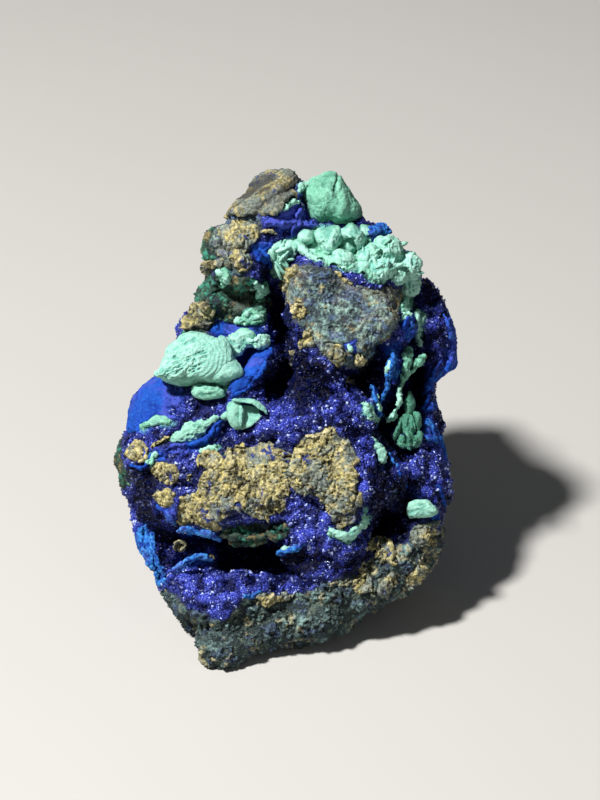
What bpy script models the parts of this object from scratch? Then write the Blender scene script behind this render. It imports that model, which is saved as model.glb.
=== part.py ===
"""Azurite specimen: a hand-sized lump of azurite on iron-stained matrix, with malachite grown on it.

The lump is laid out on its show face, in millimetres ACROSS it, UP it and OUT of it. The face leans
back from upright, and the lump is cut off flat where it stands. Metres, +Z up; the origin is on the
flat base, and -Y is the side that the show face looks towards.
"""

import math
from typing import NamedTuple

import bmesh
import bpy
from mathutils import Euler, Matrix

# Driving dimensions
FACE_LENGTH = 0.058  # the show face from its foot to its crown
FACE_CENTRE_HEIGHT = 0.0249  # the middle of the show face above the base
FACE_LEAN = math.radians(30)  # how far the show face leans back from upright
CONTACT_GAP = 0.00065  # how far the malachite is cut back from the azurite that it grows on

DRAWN_LENGTH = 58  # the length of the face that the numbers below are drawn for
MM = FACE_LENGTH / DRAWN_LENGTH

BLEND_VOXEL = 0.6 * MM  # the grain at which overlapping lumps are run together
FINE_VOXEL = 0.4 * MM  # the same for the malachite
BLEND_ROUNDS = 4


class Lump(NamedTuple):
    """A rounded form on the show face: its centre and half sizes in millimetres, its angles in degrees."""

    name: str
    place: tuple  # across, up, out
    half_sizes: tuple
    turn: float = 0  # in the plane of the face
    tip: float = 0  # about the line across the face
    square: float = 2  # 2 is an ellipsoid, and more is nearer to a block


AZURITE_LUMPS = [
    # the hidden bulk that everything sits on
    Lump("core", (-1, -2, -12), (13.5, 19, 11)),
    Lump("heel", (-1, -15, -15), (14, 11, 14)),
    Lump("back", (0, 8, -9), (11, 13, 8)),
    Lump("ridge web", (11.5, 4, -10.5), (4.4, 9, 4.6)),
    # the side away from the show face
    Lump("sole", (-0.5, -12.6, -18.4), (13.4, 9, 8.4), 0, 0, 2.5),
    Lump("back brow", (3, 17, -10.8), (6.4, 5, 4.4), 20, 0, 2.6),
    Lump("back shoulder", (-5.6, 10.6, -15.2), (6.2, 6.2, 4.6), -30, 0, 2.4),
    Lump("back knob", (6.4, 5.2, -17.4), (5.6, 5, 4), 10, 20, 2.6),
    Lump("back ledge", (0.6, -3.4, -21.6), (10, 4.2, 3.8), 12, 30, 2.8),
    Lump("back foot", (-8, -8, -21.6), (5.6, 5.4, 4.6), -10, 0, 2.4),
    Lump("left hip", (-13.4, -8.4, -13.4), (4.6, 7.6, 6.6), -8, 0, 2.4),
    Lump("left wall", (-11.6, 5.6, -12), (3.6, 6.4, 4.6), 6),
    Lump("right hip", (11.2, -9.6, -15), (4.8, 6.6, 6.6), 8, 0, 2.4),
    # the crown
    Lump("crown core", (-1.6, 16.6, -3.6), (8.4, 8.4, 6.4)),
    Lump("crown slab", (-4.6, 21.2, -0.6), (6, 3.2, 3.6), 47, 0, 3),
    Lump("crown flake", (-2.4, 21.6, 1.4), (4.4, 1.5, 2.4), 52, 0, 3),
    Lump("crown seat", (3.3, 20.2, -2.6), (4.2, 4.4, 3.6)),
    Lump("crown cheek", (-7.7, 17.4, 0.6), (3.6, 3.6, 3.2), 30, 0, 2.6),
    Lump("crown chip", (-5.4, 13.9, 1.2), (2.4, 1.9, 2.2), 20),
    Lump("crown jaw", (-9.2, 13.3, -2.6), (2.4, 3.6, 3.4), 0, 0, 2.6),
    Lump("crown nub high", (-10.6, 11.2, -6.4), (2.2, 4, 3.4), -10),
    Lump("crown nub low", (-11.4, 8.8, -5), (2.2, 2.4, 2.6), 0, 0, 2.6),
    Lump("crown neck", (-5.6, 10, -4), (4.4, 4.2, 4)),
    Lump("crown shoulder", (9.6, 15.6, -3), (4.6, 3.4, 4), -24),
    Lump("crown saddle", (6.8, 17.4, -1.8), (4.2, 3.4, 3.4), -10),
    # the shield-shaped block under the crown
    Lump("shield", (4.7, 10.4, -0.4), (6.6, 5.6, 6.6), 0, -8, 3.4),
    Lump("shield chin", (5.2, 6.4, 0.6), (4.8, 4.2, 5.2), 0, -12, 2.4),
    Lump("shield brow", (3.6, 14.2, 2), (5.2, 1.6, 3.6), -6, 0, 3),
    # between the shield and the lower block
    Lump("nose", (0.6, 2.6, 0.2), (2.6, 4.4, 3.4), 18),
    Lump("nose crest", (3, 1.4, 2.6), (1.4, 3.4, 2.6), 42),
    Lump("saddle", (1.2, -2, 2.2), (7.6, 3.4, 4.4), -4),
    Lump("saddle bead", (6.2, 0.4, 3), (1.9, 1.9, 1.8)),
    # the shelf on the left
    Lump("shelf", (-10.6, -1.4, -3), (9.6, 4.6, 6.2), 3, 0, 2.6),
    Lump("shelf rise", (-9.2, 4.2, -5.8), (7, 4, 5)),
    Lump("shelf slope", (-14.8, 0.6, -3.4), (5.6, 2.7, 5), 50, 0, 2.4),
    Lump("shelf lip", (-4.2, 3.6, 0.2), (1, 4, 2.6), -34),
    Lump("shelf lip foot", (-6.6, 0.6, 2), (2.4, 1, 2), 30),
    # the lower block
    Lump("block", (-8, -10.2, -0.6), (9, 6, 7.4), -4, 0, 2.5),
    Lump("block middle", (0.4, -8.8, 0.4), (7.4, 5.8, 6.8), 12, 0, 2.5),
    Lump("block left", (-16.4, -7.4, -2.6), (5, 4.4, 5.6), -10, 0, 2.4),
    Lump("block left low", (-14.4, -12, -3), (4.6, 3.4, 5.6)),
    Lump("block right", (5, -9.4, 1), (4.6, 6, 6), 6, 0, 2.5),
    Lump("block end", (8.2, -9.4, 0.4), (2.8, 5.6, 4.4), 14),
    Lump("block lip", (0.4, -13.8, 1.6), (6.4, 2.6, 4.4), -4),
    Lump("block lip left", (-8.4, -14, 0.4), (5.6, 2.4, 4.4), 6),
    Lump("block toe", (4.9, -14.4, 2.4), (3.1, 2.9, 3.8)),
    Lump("under ledge", (3.6, -17.8, 1), (5, 2.6, 4.6), 14),
    # the foot
    Lump("foot ledge", (-7, -23, -1.6), (8.8, 2.8, 6.8), 0, 0, 2.4),
    Lump("foot ledge right", (3.5, -21.8, -2.6), (6, 2.4, 6), 14),
    Lump("foot rim", (-1.2, -26, -3.4), (8.6, 3, 7.6), 10, 0, 2.4),
    Lump("foot toe", (-8.4, -28.6, 1.2), (3.4, 2.9, 4.6), -12, 0, 2.6),
    Lump("foot heel left", (-11.8, -24.6, -4), (3.2, 3.2, 5), -48),
    Lump("foot rim right", (5.4, -22.8, -4.6), (7, 3, 7.4), 24, 0, 2.4),
    Lump("foot end", (10.8, -19.2, -4.4), (5, 3.4, 7.4), 40, 0, 2.4),
    Lump("flange", (-16.4, -18, -2.6), (1.4, 6, 3.6), 30),
    Lump("flange wall", (-13.6, -18.6, -6.4), (3, 6, 4), 22),
    # the right side
    Lump("flank low", (13.2, -16, -3.4), (3.2, 3.6, 6), 16),
    Lump("flank", (13.9, -11.4, -4.8), (3.3, 4.6, 6)),
    Lump("flank druse", (13.7, -7.2, -3.8), (3.8, 4.4, 5.8), 0, -10),
    Lump("flank fold", (10.3, -6.8, -0.8), (2, 5.4, 4), 16),
    Lump("ridge top", (15, 9.4, -6.4), (2.6, 4.6, 5), 12),
    Lump("ridge", (15.7, 5.4, -7), (2.1, 3.8, 5), 0),
    Lump("ridge foot", (14.2, -1.6, -6.8), (2.7, 4.8, 5.4)),
    Lump("rib", (10.9, 4.4, -0.6), (1.1, 4.8, 2.8), -6),
    Lump("rib head", (12.5, 8.6, -1), (1, 1.9, 3.4), 0),
]

AZURITE_PITS = [
    Lump("cleft", (-2.7, 8, 4.6), (1.7, 8.4, 8), -4),
    Lump("cleft foot", (-2.5, 2.4, 6), (2, 3.6, 7), 10),
    Lump("crown recess", (-5.8, 10.6, 4), (3.4, 2.8, 3.8), 0),
    Lump("cave", (-5.4, -18.1, 7), (6.6, 1.9, 8.6), 3),
    Lump("cave left", (-12.4, -17.6, 4), (1.7, 3.4, 6.4), 14),
    Lump("flank pit", (9.9, -13.6, 5), (1.9, 2.2, 8), 8),
    Lump("shield pit", (6.8, 3, 8.2), (3.4, 1.6, 8), -10),
    Lump("ridge pit", (13.5, 2, 1), (1.4, 4.6, 7.4), -4),
    Lump("ridge notch", (18.4, 0.7, -6), (1.8, 1.2, 5), 0),
    Lump("fold pit", (12.6, -3.4, 4.6), (1.2, 1.6, 6), 20),
    Lump("back pocket high", (-0.6, 12.2, -19), (2.6, 3.6, 4), 24),
    Lump("back pocket", (0.4, 2.2, -25.4), (3.6, 1.9, 4.4), -14),
    Lump("back pocket low", (5.2, -10, -28), (4.6, 1.8, 4.6), 16),
    Lump("left pocket", (-16, 1.6, -12.4), (2.6, 2.2, 3.4), 0),
    Lump("right pocket", (16.4, -4.2, -13), (2.4, 3.4, 3.6), 10),
]

AZURITE_TRIANGLES = 6600

MALACHITE_GROWTHS = {
    "malachite_rosette": (
        800,
        [
            Lump("bed", (-11, 3.4, 2.2), (4.8, 3.4, 2.6), 0, 0, 2.6),
            Lump("cap", (-11.6, 4.6, 4), (4, 2.9, 1.9), -8, 0, 2.4),
            Lump("middle leaf", (-10.4, 2.2, 4), (4.4, 1.5, 2), 4, 0, 2.6),
            Lump("under leaf", (-9.2, 0.6, 3.2), (3.2, 1.2, 2), 8, 0, 2.6),
            Lump("arm", (-6.2, 6.9, 1.2), (2.6, 1.2, 1.8), 10),
            Lump("arm end", (-4.2, 7.1, 0.8), (1.2, 1.1, 1.6)),
            Lump("left fold", (-14.9, 2.3, 3.2), (1.9, 1.2, 1.6), -20),
        ],
    ),
    "malachite_crown": (
        1500,
        [
            Lump("dome", (4, 23, 0.6), (3.1, 3.2, 3.2), 10),
            Lump("left pleat", (1.8, 23.1, 0.8), (1.2, 2.7, 2.8), 10),
            Lump("middle pleat", (4, 23.7, 1.4), (1.4, 2.8, 3), -4),
            Lump("right pleat", (6.1, 22.6, 0.8), (1.3, 2.5, 2.8), -24),
            Lump("dome foot", (4, 20.8, 1.2), (3, 1.5, 2.4)),
            Lump("big bead", (4.4, 18.5, 2.4), (2.5, 2.3, 2.6)),
            Lump("left bead", (1.3, 18.9, 1.8), (1.6, 1.4, 1.8)),
            Lump("far left bead", (-0.4, 17.9, 2), (1.4, 1.6, 1.7)),
            Lump("front bead", (2.6, 16.3, 2.6), (2, 1.5, 1.9), -24),
            Lump("bridge", (6.8, 17.8, 1.8), (1.8, 1.6, 2)),
            Lump("upper cluster", (9.4, 17.4, 1.4), (2.8, 2.2, 2.4), -20),
            Lump("middle cluster", (9.2, 15.4, 2.4), (2.6, 1.6, 2.2), 10),
            Lump("cluster end", (12.2, 15.4, 0.4), (1.8, 2.2, 2.4), 0),
            Lump("cluster foot", (12.6, 12.8, 0), (1.5, 1.8, 2), 0),
        ],
    ),
    "malachite_shell": (250, [Lump("shell", (-6.1, -2, 4.9), (2.3, 1.7, 1.7), -10, 0, 2.4)]),
    "malachite_crust": (250, [Lump("crust", (-13.2, -3.8, 3.6), (3.6, 1.3, 1.6), 20)]),
    "malachite_knob": (150, [Lump("knob", (14, -12.7, 1.5), (1.9, 1.2, 1.7), 0, 0, 3)]),
    "malachite_strip": (
        420,
        [
            Lump("strip", (12.4, 3.4, 0.9), (0.9, 3.4, 1.5), -10),
            Lump("strip knee", (12.7, 0, -0.2), (0.9, 2, 1.8), 6),
            Lump("tuft", (12, -2.8, -0.4), (1.9, 2.6, 2)),
        ],
    ),
}


def face_frame():
    """From millimetres across, up and out of the show face to metres in the world."""
    lean_back = Matrix.Rotation(-FACE_LEAN, 4, "X")
    stand_up = Matrix(((1, 0, 0, 0), (0, 0, -1, 0), (0, 1, 0, 0), (0, 0, 0, 1)))
    return Matrix.Translation((0, 0, FACE_CENTRE_HEIGHT)) @ lean_back @ stand_up @ Matrix.Scale(MM, 4)


def new_object(name, bm, collection):
    mesh = bpy.data.meshes.new(name)
    bm.to_mesh(mesh)
    bm.free()
    obj = bpy.data.objects.new(name, mesh)
    collection.objects.link(obj)
    return obj


def add_lump(bm, lump):
    """A unit ball, squared off by the superellipsoid rule, then sized, turned and put on the face."""
    ball = bmesh.ops.create_icosphere(bm, subdivisions=4, radius=1)["verts"]
    for vertex in ball:
        reach = sum(abs(side) ** lump.square for side in vertex.co) ** (1 / lump.square)
        vertex.co /= reach
    matrix = (
        face_frame()
        @ Matrix.Translation(lump.place)
        @ Euler((math.radians(lump.tip), 0, math.radians(lump.turn))).to_matrix().to_4x4()
        @ Matrix.Diagonal((*lump.half_sizes, 1))
    )
    bmesh.ops.transform(bm, matrix=matrix, verts=ball)


def run_together(name, lumps, collection, voxel=BLEND_VOXEL):
    """One object of overlapping lumps, run together by a voxel Remesh."""
    bm = bmesh.new()
    for lump in lumps:
        add_lump(bm, lump)
    obj = new_object(name, bm, collection)
    remesh(obj, voxel)
    return obj


def remesh(obj, voxel=BLEND_VOXEL):
    """One closed skin over everything that overlaps, at the grain of the voxels."""
    modifier = obj.modifiers.new("run together", "REMESH")
    modifier.mode = "VOXEL"
    modifier.voxel_size = voxel


def smooth(obj, rounds):
    modifier = obj.modifiers.new("soften", "SMOOTH")
    modifier.factor = 0.5
    modifier.iterations = rounds


def roughen(obj, name, grain, depth):
    """Pushes the surface in and out by cloud noise whose cells are grain across."""
    texture = bpy.data.textures.new(name, "CLOUDS")
    texture.noise_scale = grain
    modifier = obj.modifiers.new(name, "DISPLACE")
    modifier.texture = texture
    modifier.texture_coords = "LOCAL"
    modifier.strength = depth
    modifier.mid_level = 0.5


def swell(obj, distance):
    modifier = obj.modifiers.new("swell", "DISPLACE")
    modifier.strength = distance
    modifier.mid_level = 0


def cut(obj, cutter):
    modifier = obj.modifiers.new(cutter.name, "BOOLEAN")
    modifier.operation = "DIFFERENCE"
    modifier.object = cutter
    modifier.solver = "EXACT"


def decimate_to(obj, triangles):
    """Collapses edges until about this many triangles are left."""
    graph = bpy.context.evaluated_depsgraph_get()
    mesh = obj.evaluated_get(graph).to_mesh()
    mesh.calc_loop_triangles()
    ratio = triangles / len(mesh.loop_triangles)
    obj.evaluated_get(graph).to_mesh_clear()
    modifier = obj.modifiers.new("fewer faces", "DECIMATE")
    modifier.ratio = min(1, ratio)
    modifier.use_collapse_triangulate = True


def helper(obj):
    """Hides what only cuts or guides."""
    obj.hide_render = True
    obj.display_type = "WIRE"
    return obj


def new_material(name, colour, roughness):
    made = bpy.data.materials.new(name)
    made.use_nodes = True
    shader = made.node_tree.nodes["Principled BSDF"]
    shader.inputs["Base Color"].default_value = (*colour, 1)
    shader.inputs["Roughness"].default_value = roughness
    made.diffuse_color = (*colour, 1)
    return made


def new_collection(name):
    made = bpy.data.collections.new(name)
    bpy.context.scene.collection.children.link(made)
    return made


def ground(cutters):
    """A block below the base plane, which cuts the lump off flat."""
    bm = bmesh.new()
    depth = FACE_LENGTH
    matrix = Matrix.Translation((0, 0, -depth / 2)) @ Matrix.Diagonal((3 * depth, 3 * depth, depth, 1))
    bmesh.ops.create_cube(bm, size=1, matrix=matrix)
    return helper(new_object("ground", bm, cutters))


def azurite_form(name, pits, base, home):
    """The azurite lump: run together, hollowed by its pits, roughened and cut off at its base."""
    body = run_together(name, AZURITE_LUMPS, home)
    cut(body, pits)
    remesh(body)
    smooth(body, BLEND_ROUNDS)
    roughen(body, "broad relief", 5 * MM, 1.8 * MM)
    roughen(body, "crust relief", 1.8 * MM, 1.1 * MM)
    decimate_to(body, AZURITE_TRIANGLES)
    cut(body, base)
    return body


def main():
    for obj in list(bpy.data.objects):
        bpy.data.objects.remove(obj)
    parts = new_collection("azurite specimen")
    cutters = new_collection("cutters")
    base = ground(cutters)
    pits = helper(run_together("pits", AZURITE_PITS, cutters))
    body = azurite_form("azurite", pits, base, parts)
    body.data.materials.append(new_material("azurite", (0.02, 0.03, 0.35), 0.5))
    clearance = helper(azurite_form("clearance", pits, base, cutters))
    swell(clearance, CONTACT_GAP)
    remesh(clearance)
    decimate_to(clearance, AZURITE_TRIANGLES)
    green = new_material("malachite", (0.25, 0.6, 0.42), 0.6)
    for name, (triangles, lumps) in MALACHITE_GROWTHS.items():
        growth = run_together(name, lumps, parts, FINE_VOXEL)
        growth.data.materials.append(green)
        smooth(growth, 3)
        roughen(growth, name + " relief", 1.4 * MM, 0.7 * MM)
        decimate_to(growth, triangles)
        cut(growth, clearance)


main()
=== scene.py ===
"""A free-standing azurite specimen: blue druse and velvet crusts on ochre matrix, overgrown by malachite."""

import math

import bmesh
import bpy
import numpy as np
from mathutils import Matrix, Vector
from mathutils.bvhtree import BVHTree


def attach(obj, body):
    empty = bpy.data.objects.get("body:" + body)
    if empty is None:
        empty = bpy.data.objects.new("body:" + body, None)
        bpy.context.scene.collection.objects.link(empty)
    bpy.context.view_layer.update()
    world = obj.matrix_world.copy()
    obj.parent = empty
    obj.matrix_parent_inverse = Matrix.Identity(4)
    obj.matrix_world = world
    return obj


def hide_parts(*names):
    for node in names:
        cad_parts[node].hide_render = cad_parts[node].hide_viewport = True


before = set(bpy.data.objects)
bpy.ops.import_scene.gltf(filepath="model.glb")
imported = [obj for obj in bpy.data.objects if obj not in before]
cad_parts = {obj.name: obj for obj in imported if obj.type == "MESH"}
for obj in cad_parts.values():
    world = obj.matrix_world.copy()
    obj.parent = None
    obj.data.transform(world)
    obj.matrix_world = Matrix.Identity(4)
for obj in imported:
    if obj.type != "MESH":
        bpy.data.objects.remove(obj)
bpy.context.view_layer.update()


# ---- The studio -------------------------------------------------------------------------------
# The specimen stands on a pale table. One soft lamp hangs above it to the left, as a collector
# lights blue crystal, so that the hollows stay dark, and a weak one fills the right.

FACE_MIDDLE = np.array((0.0, 0.0, 0.0249))
VIEW_TILT = math.radians(30)
VIEW_DISTANCE = 0.33

camera = bpy.data.objects.new("camera", bpy.data.cameras.new("camera"))
bpy.context.scene.collection.objects.link(camera)
towards_camera = Vector((0, -math.cos(VIEW_TILT), math.sin(VIEW_TILT)))
camera.location = Vector(FACE_MIDDLE) + VIEW_DISTANCE * towards_camera
camera.rotation_euler = (-towards_camera).to_track_quat("-Z", "Y").to_euler()
camera.data.lens = 128
camera.data.clip_start = 0.01
bpy.context.scene.camera = camera


def lamp(name, place, size, watts, colour):
    """A round lamp that faces the specimen."""
    light = bpy.data.lights.new(name, "AREA")
    light.shape = "DISK"
    light.size = size
    light.energy = watts
    light.color = colour
    obj = bpy.data.objects.new(name, light)
    obj.location = place
    obj.rotation_euler = (Vector(FACE_MIDDLE) - obj.location).to_track_quat("-Z", "Y").to_euler()
    bpy.context.scene.collection.objects.link(obj)


lamp("lamp_above", (-0.26, -0.16, 0.52), size=0.07, watts=6.6, colour=(1.0, 0.985, 0.96))
lamp("lamp_right", (0.5, -0.5, 0.35), size=0.3, watts=0.35, colour=(0.95, 0.98, 1.0))

world = bpy.data.worlds.new("studio")
world.use_nodes = True
backdrop = world.node_tree.nodes["Background"]
backdrop.inputs["Color"].default_value = (0.93, 0.96, 1, 1)
backdrop.inputs["Strength"].default_value = 0.07
bpy.context.scene.world = world
bpy.context.scene.view_settings.view_transform = "Standard"


def matt_paint(name, colour):
    """Paint with a faint mottle, for the table."""
    material = bpy.data.materials.new(name)
    material.use_nodes = True
    nodes, links = material.node_tree.nodes, material.node_tree.links
    shader = nodes["Principled BSDF"]
    shader.inputs["Roughness"].default_value = 0.85
    place = nodes.new("ShaderNodeTexCoord")
    mottle = nodes.new("ShaderNodeTexNoise")
    mottle.inputs["Scale"].default_value = 9
    links.new(place.outputs["Object"], mottle.inputs["Vector"])
    ramp = nodes.new("ShaderNodeValToRGB")
    ramp.color_ramp.elements[0].color = (*(0.94 * np.array(colour)), 1)
    ramp.color_ramp.elements[1].color = (*colour, 1)
    links.new(mottle.outputs["Fac"], ramp.inputs["Fac"])
    links.new(ramp.outputs["Color"], shader.inputs["Base Color"])
    return material


TABLE_HALF = 4
floor = bpy.data.objects.new("table", bpy.data.meshes.new("table"))
table_corners = [(-TABLE_HALF, -TABLE_HALF, 0), (TABLE_HALF, -TABLE_HALF, 0),
                 (TABLE_HALF, TABLE_HALF, 0), (-TABLE_HALF, TABLE_HALF, 0)]
floor.data.from_pydata(table_corners, [], [(0, 1, 2, 3)])
floor.data.materials.append(matt_paint("table_paint", (0.5, 0.49, 0.47)))
bpy.context.scene.collection.objects.link(floor)


# ---- The lump ---------------------------------------------------------------------------------
# One intergrown stone: iron-stained matrix coated with azurite. It is laid out on its show face, in
# millimetres across, up and out, which leans back 30 degrees. It was broken out of the vein, and its
# foot is sawn flat.

MM = 0.001
FACE_AXES = np.array(((1, 0, 0), (0, 0.5, 0.75**0.5), (0, -(0.75**0.5), 0.5)))


def on_face(points):
    """World metres to millimetres across, up and out of the show face, from its middle."""
    return (points - FACE_MIDDLE) @ FACE_AXES.T / MM


def off_face(places):
    """Millimetres across, up and out of the show face to world metres, the other way round."""
    return np.asarray(places) @ FACE_AXES * MM + FACE_MIDDLE


def as_seen(points):
    """Across and up of the show face as they look from VIEW_DISTANCE in front, and the true height out."""
    across, up, out = on_face(points).T
    far = VIEW_DISTANCE / MM
    nearer = far / (far - out)
    return across * nearer, up * nearer, out


CHANCE = np.random.default_rng(7).random(65536)


def chance(corners, seed):
    """A fixed number from 0 to 1 for each whole-numbered corner: its coordinates hashed into a table."""
    x, y, z = (corners[..., i].astype(np.int64) for i in range(3))
    return CHANCE[(x * 73856093 ^ y * 19349663 ^ z * 83492791 ^ seed * 39916801) & 65535]


def smooth_step(low, high, value):
    """0 below low, 1 above high, and 3t^2 - 2t^3 between."""
    t = np.clip((value - low) / (high - low), 0, 1)
    return t * t * (3 - 2 * t)


OCTAVE_SHIFT = 17.3
CLOUD_CONTRAST = 1.6


def clouds(points, grain, seed, octaves=3):
    """Noise from about -1 to 1: numbers at the corners of a lattice, grain apart, blended by 3t^2 - 2t^3, in
    octaves of half the grain and half the weight."""
    total, weight = np.zeros(len(points)), 0.0
    for octave in range(octaves):
        spot = points / grain * 2**octave + OCTAVE_SHIFT * octave
        corner = np.floor(spot)
        t = spot - corner
        t = t * t * (3 - 2 * t)
        value = 0
        for step in np.ndindex(2, 2, 2):
            share = np.prod(np.where(np.array(step) == 1, t, 1 - t), axis=1)
            value = value + share * chance(corner + step, seed + octave)
        total += (2 * value - 1) * 0.5**octave
        weight += 0.5**octave
    return total / weight * CLOUD_CONTRAST


def cells(points, grain, seed):
    """A lattice, grain apart, with one point scattered in each cell. For each spot: the distance to the
    nearest of them in grains, how much farther the next is, the offset from the nearest, and its cell."""
    spot = points / grain
    corner = np.floor(spot)
    near = second = np.full(len(points), 9.0)
    nearest, home = np.zeros_like(spot), np.zeros_like(spot)
    for step in np.ndindex(3, 3, 3):
        cell = corner + np.array(step) - 1
        offset = spot - cell - np.stack([chance(cell, seed + axis) for axis in range(3)], axis=1)
        distance = np.linalg.norm(offset, axis=1)
        closer = distance < near
        second = np.where(closer, near, np.minimum(second, distance))
        near = np.where(closer, distance, near)
        nearest[closer], home[closer] = offset[closer], cell[closer]
    return near, second - near, nearest, home


def line_distance(across, up, line):
    """Millimetres on the face from each point to the nearest stretch of a line."""
    best = np.full(len(across), 1e3)
    for (x0, y0), (x1, y1) in zip(line[:-1], line[1:]):
        dx, dy = x1 - x0, y1 - y0
        t = np.clip(((across - x0) * dx + (up - y0) * dy) / (dx * dx + dy * dy), 0, 1)
        best = np.minimum(best, np.hypot(across - x0 - t * dx, up - y0 - t * dy))
    return best


def along(across, up, line, width):
    """1 on a line on the face, fading as exp(-(distance / width)^2) beside it."""
    return np.exp(-((line_distance(across, up, line) / width) ** 2))


def depth_inside(across, up, outline):
    """Millimetres that each point lies inside a closed outline on the face, negative outside it."""
    edge = line_distance(across, up, [*outline, outline[0]])
    inside = np.zeros(len(across), bool)
    for (x0, y0), (x1, y1) in zip(outline, [*outline[1:], outline[0]]):
        if y0 != y1:
            inside ^= ((y0 > up) != (y1 > up)) & (across < (x1 - x0) * (up - y0) / (y1 - y0) + x0)
    return np.where(inside, edge, -edge)


def new_object(name, mesh):
    """The mesh as an object in the scene, at the origin."""
    obj = bpy.data.objects.new(name, mesh)
    bpy.context.scene.collection.objects.link(obj)
    return obj


def numbers(mesh_items, key, width, kind=np.float32):
    """One value of each item, such as the points of a mesh, as a row of width numbers."""
    values = np.empty(len(mesh_items) * width, kind)
    mesh_items.foreach_get(key, values)
    return values.reshape(-1, width) if width > 1 else values


def finished(obj):
    """The object's mesh with its modifiers applied, as a new mesh."""
    graph = bpy.context.evaluated_depsgraph_get()
    mesh = bpy.data.meshes.new_from_object(obj.evaluated_get(graph))
    obj.modifiers.clear()
    return mesh


def note(mesh, name, values):
    """Keeps a value for each vertex on the mesh, for its material to read."""
    found = mesh.attributes.get(name) or mesh.attributes.new(name, "FLOAT", "POINT")
    found.data.foreach_set("value", np.asarray(values, np.float32))


# The solid is built up again in an even skin of quads, and its facets are rounded off, twice over.
REMESH_ROUNDS = ((0.45 * MM, 9), (0.43 * MM, 2))  # size of a quad, times smoothed
rough = bmesh.new()
rough.from_mesh(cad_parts["azurite"].data)
bmesh.ops.remove_doubles(rough, verts=rough.verts, dist=1e-6)
lump_mesh = bpy.data.meshes.new("lump")
rough.to_mesh(lump_mesh)
rough.free()
lump_mesh.materials.clear()
lump = new_object("lump", lump_mesh)
for grain, rounds in REMESH_ROUNDS:
    skin = lump.modifiers.new("skin", "REMESH")
    skin.mode = "VOXEL"
    skin.voxel_size = grain
    soften = lump.modifiers.new("soften", "SMOOTH")
    soften.iterations = rounds
lump.data = finished(lump)

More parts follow.
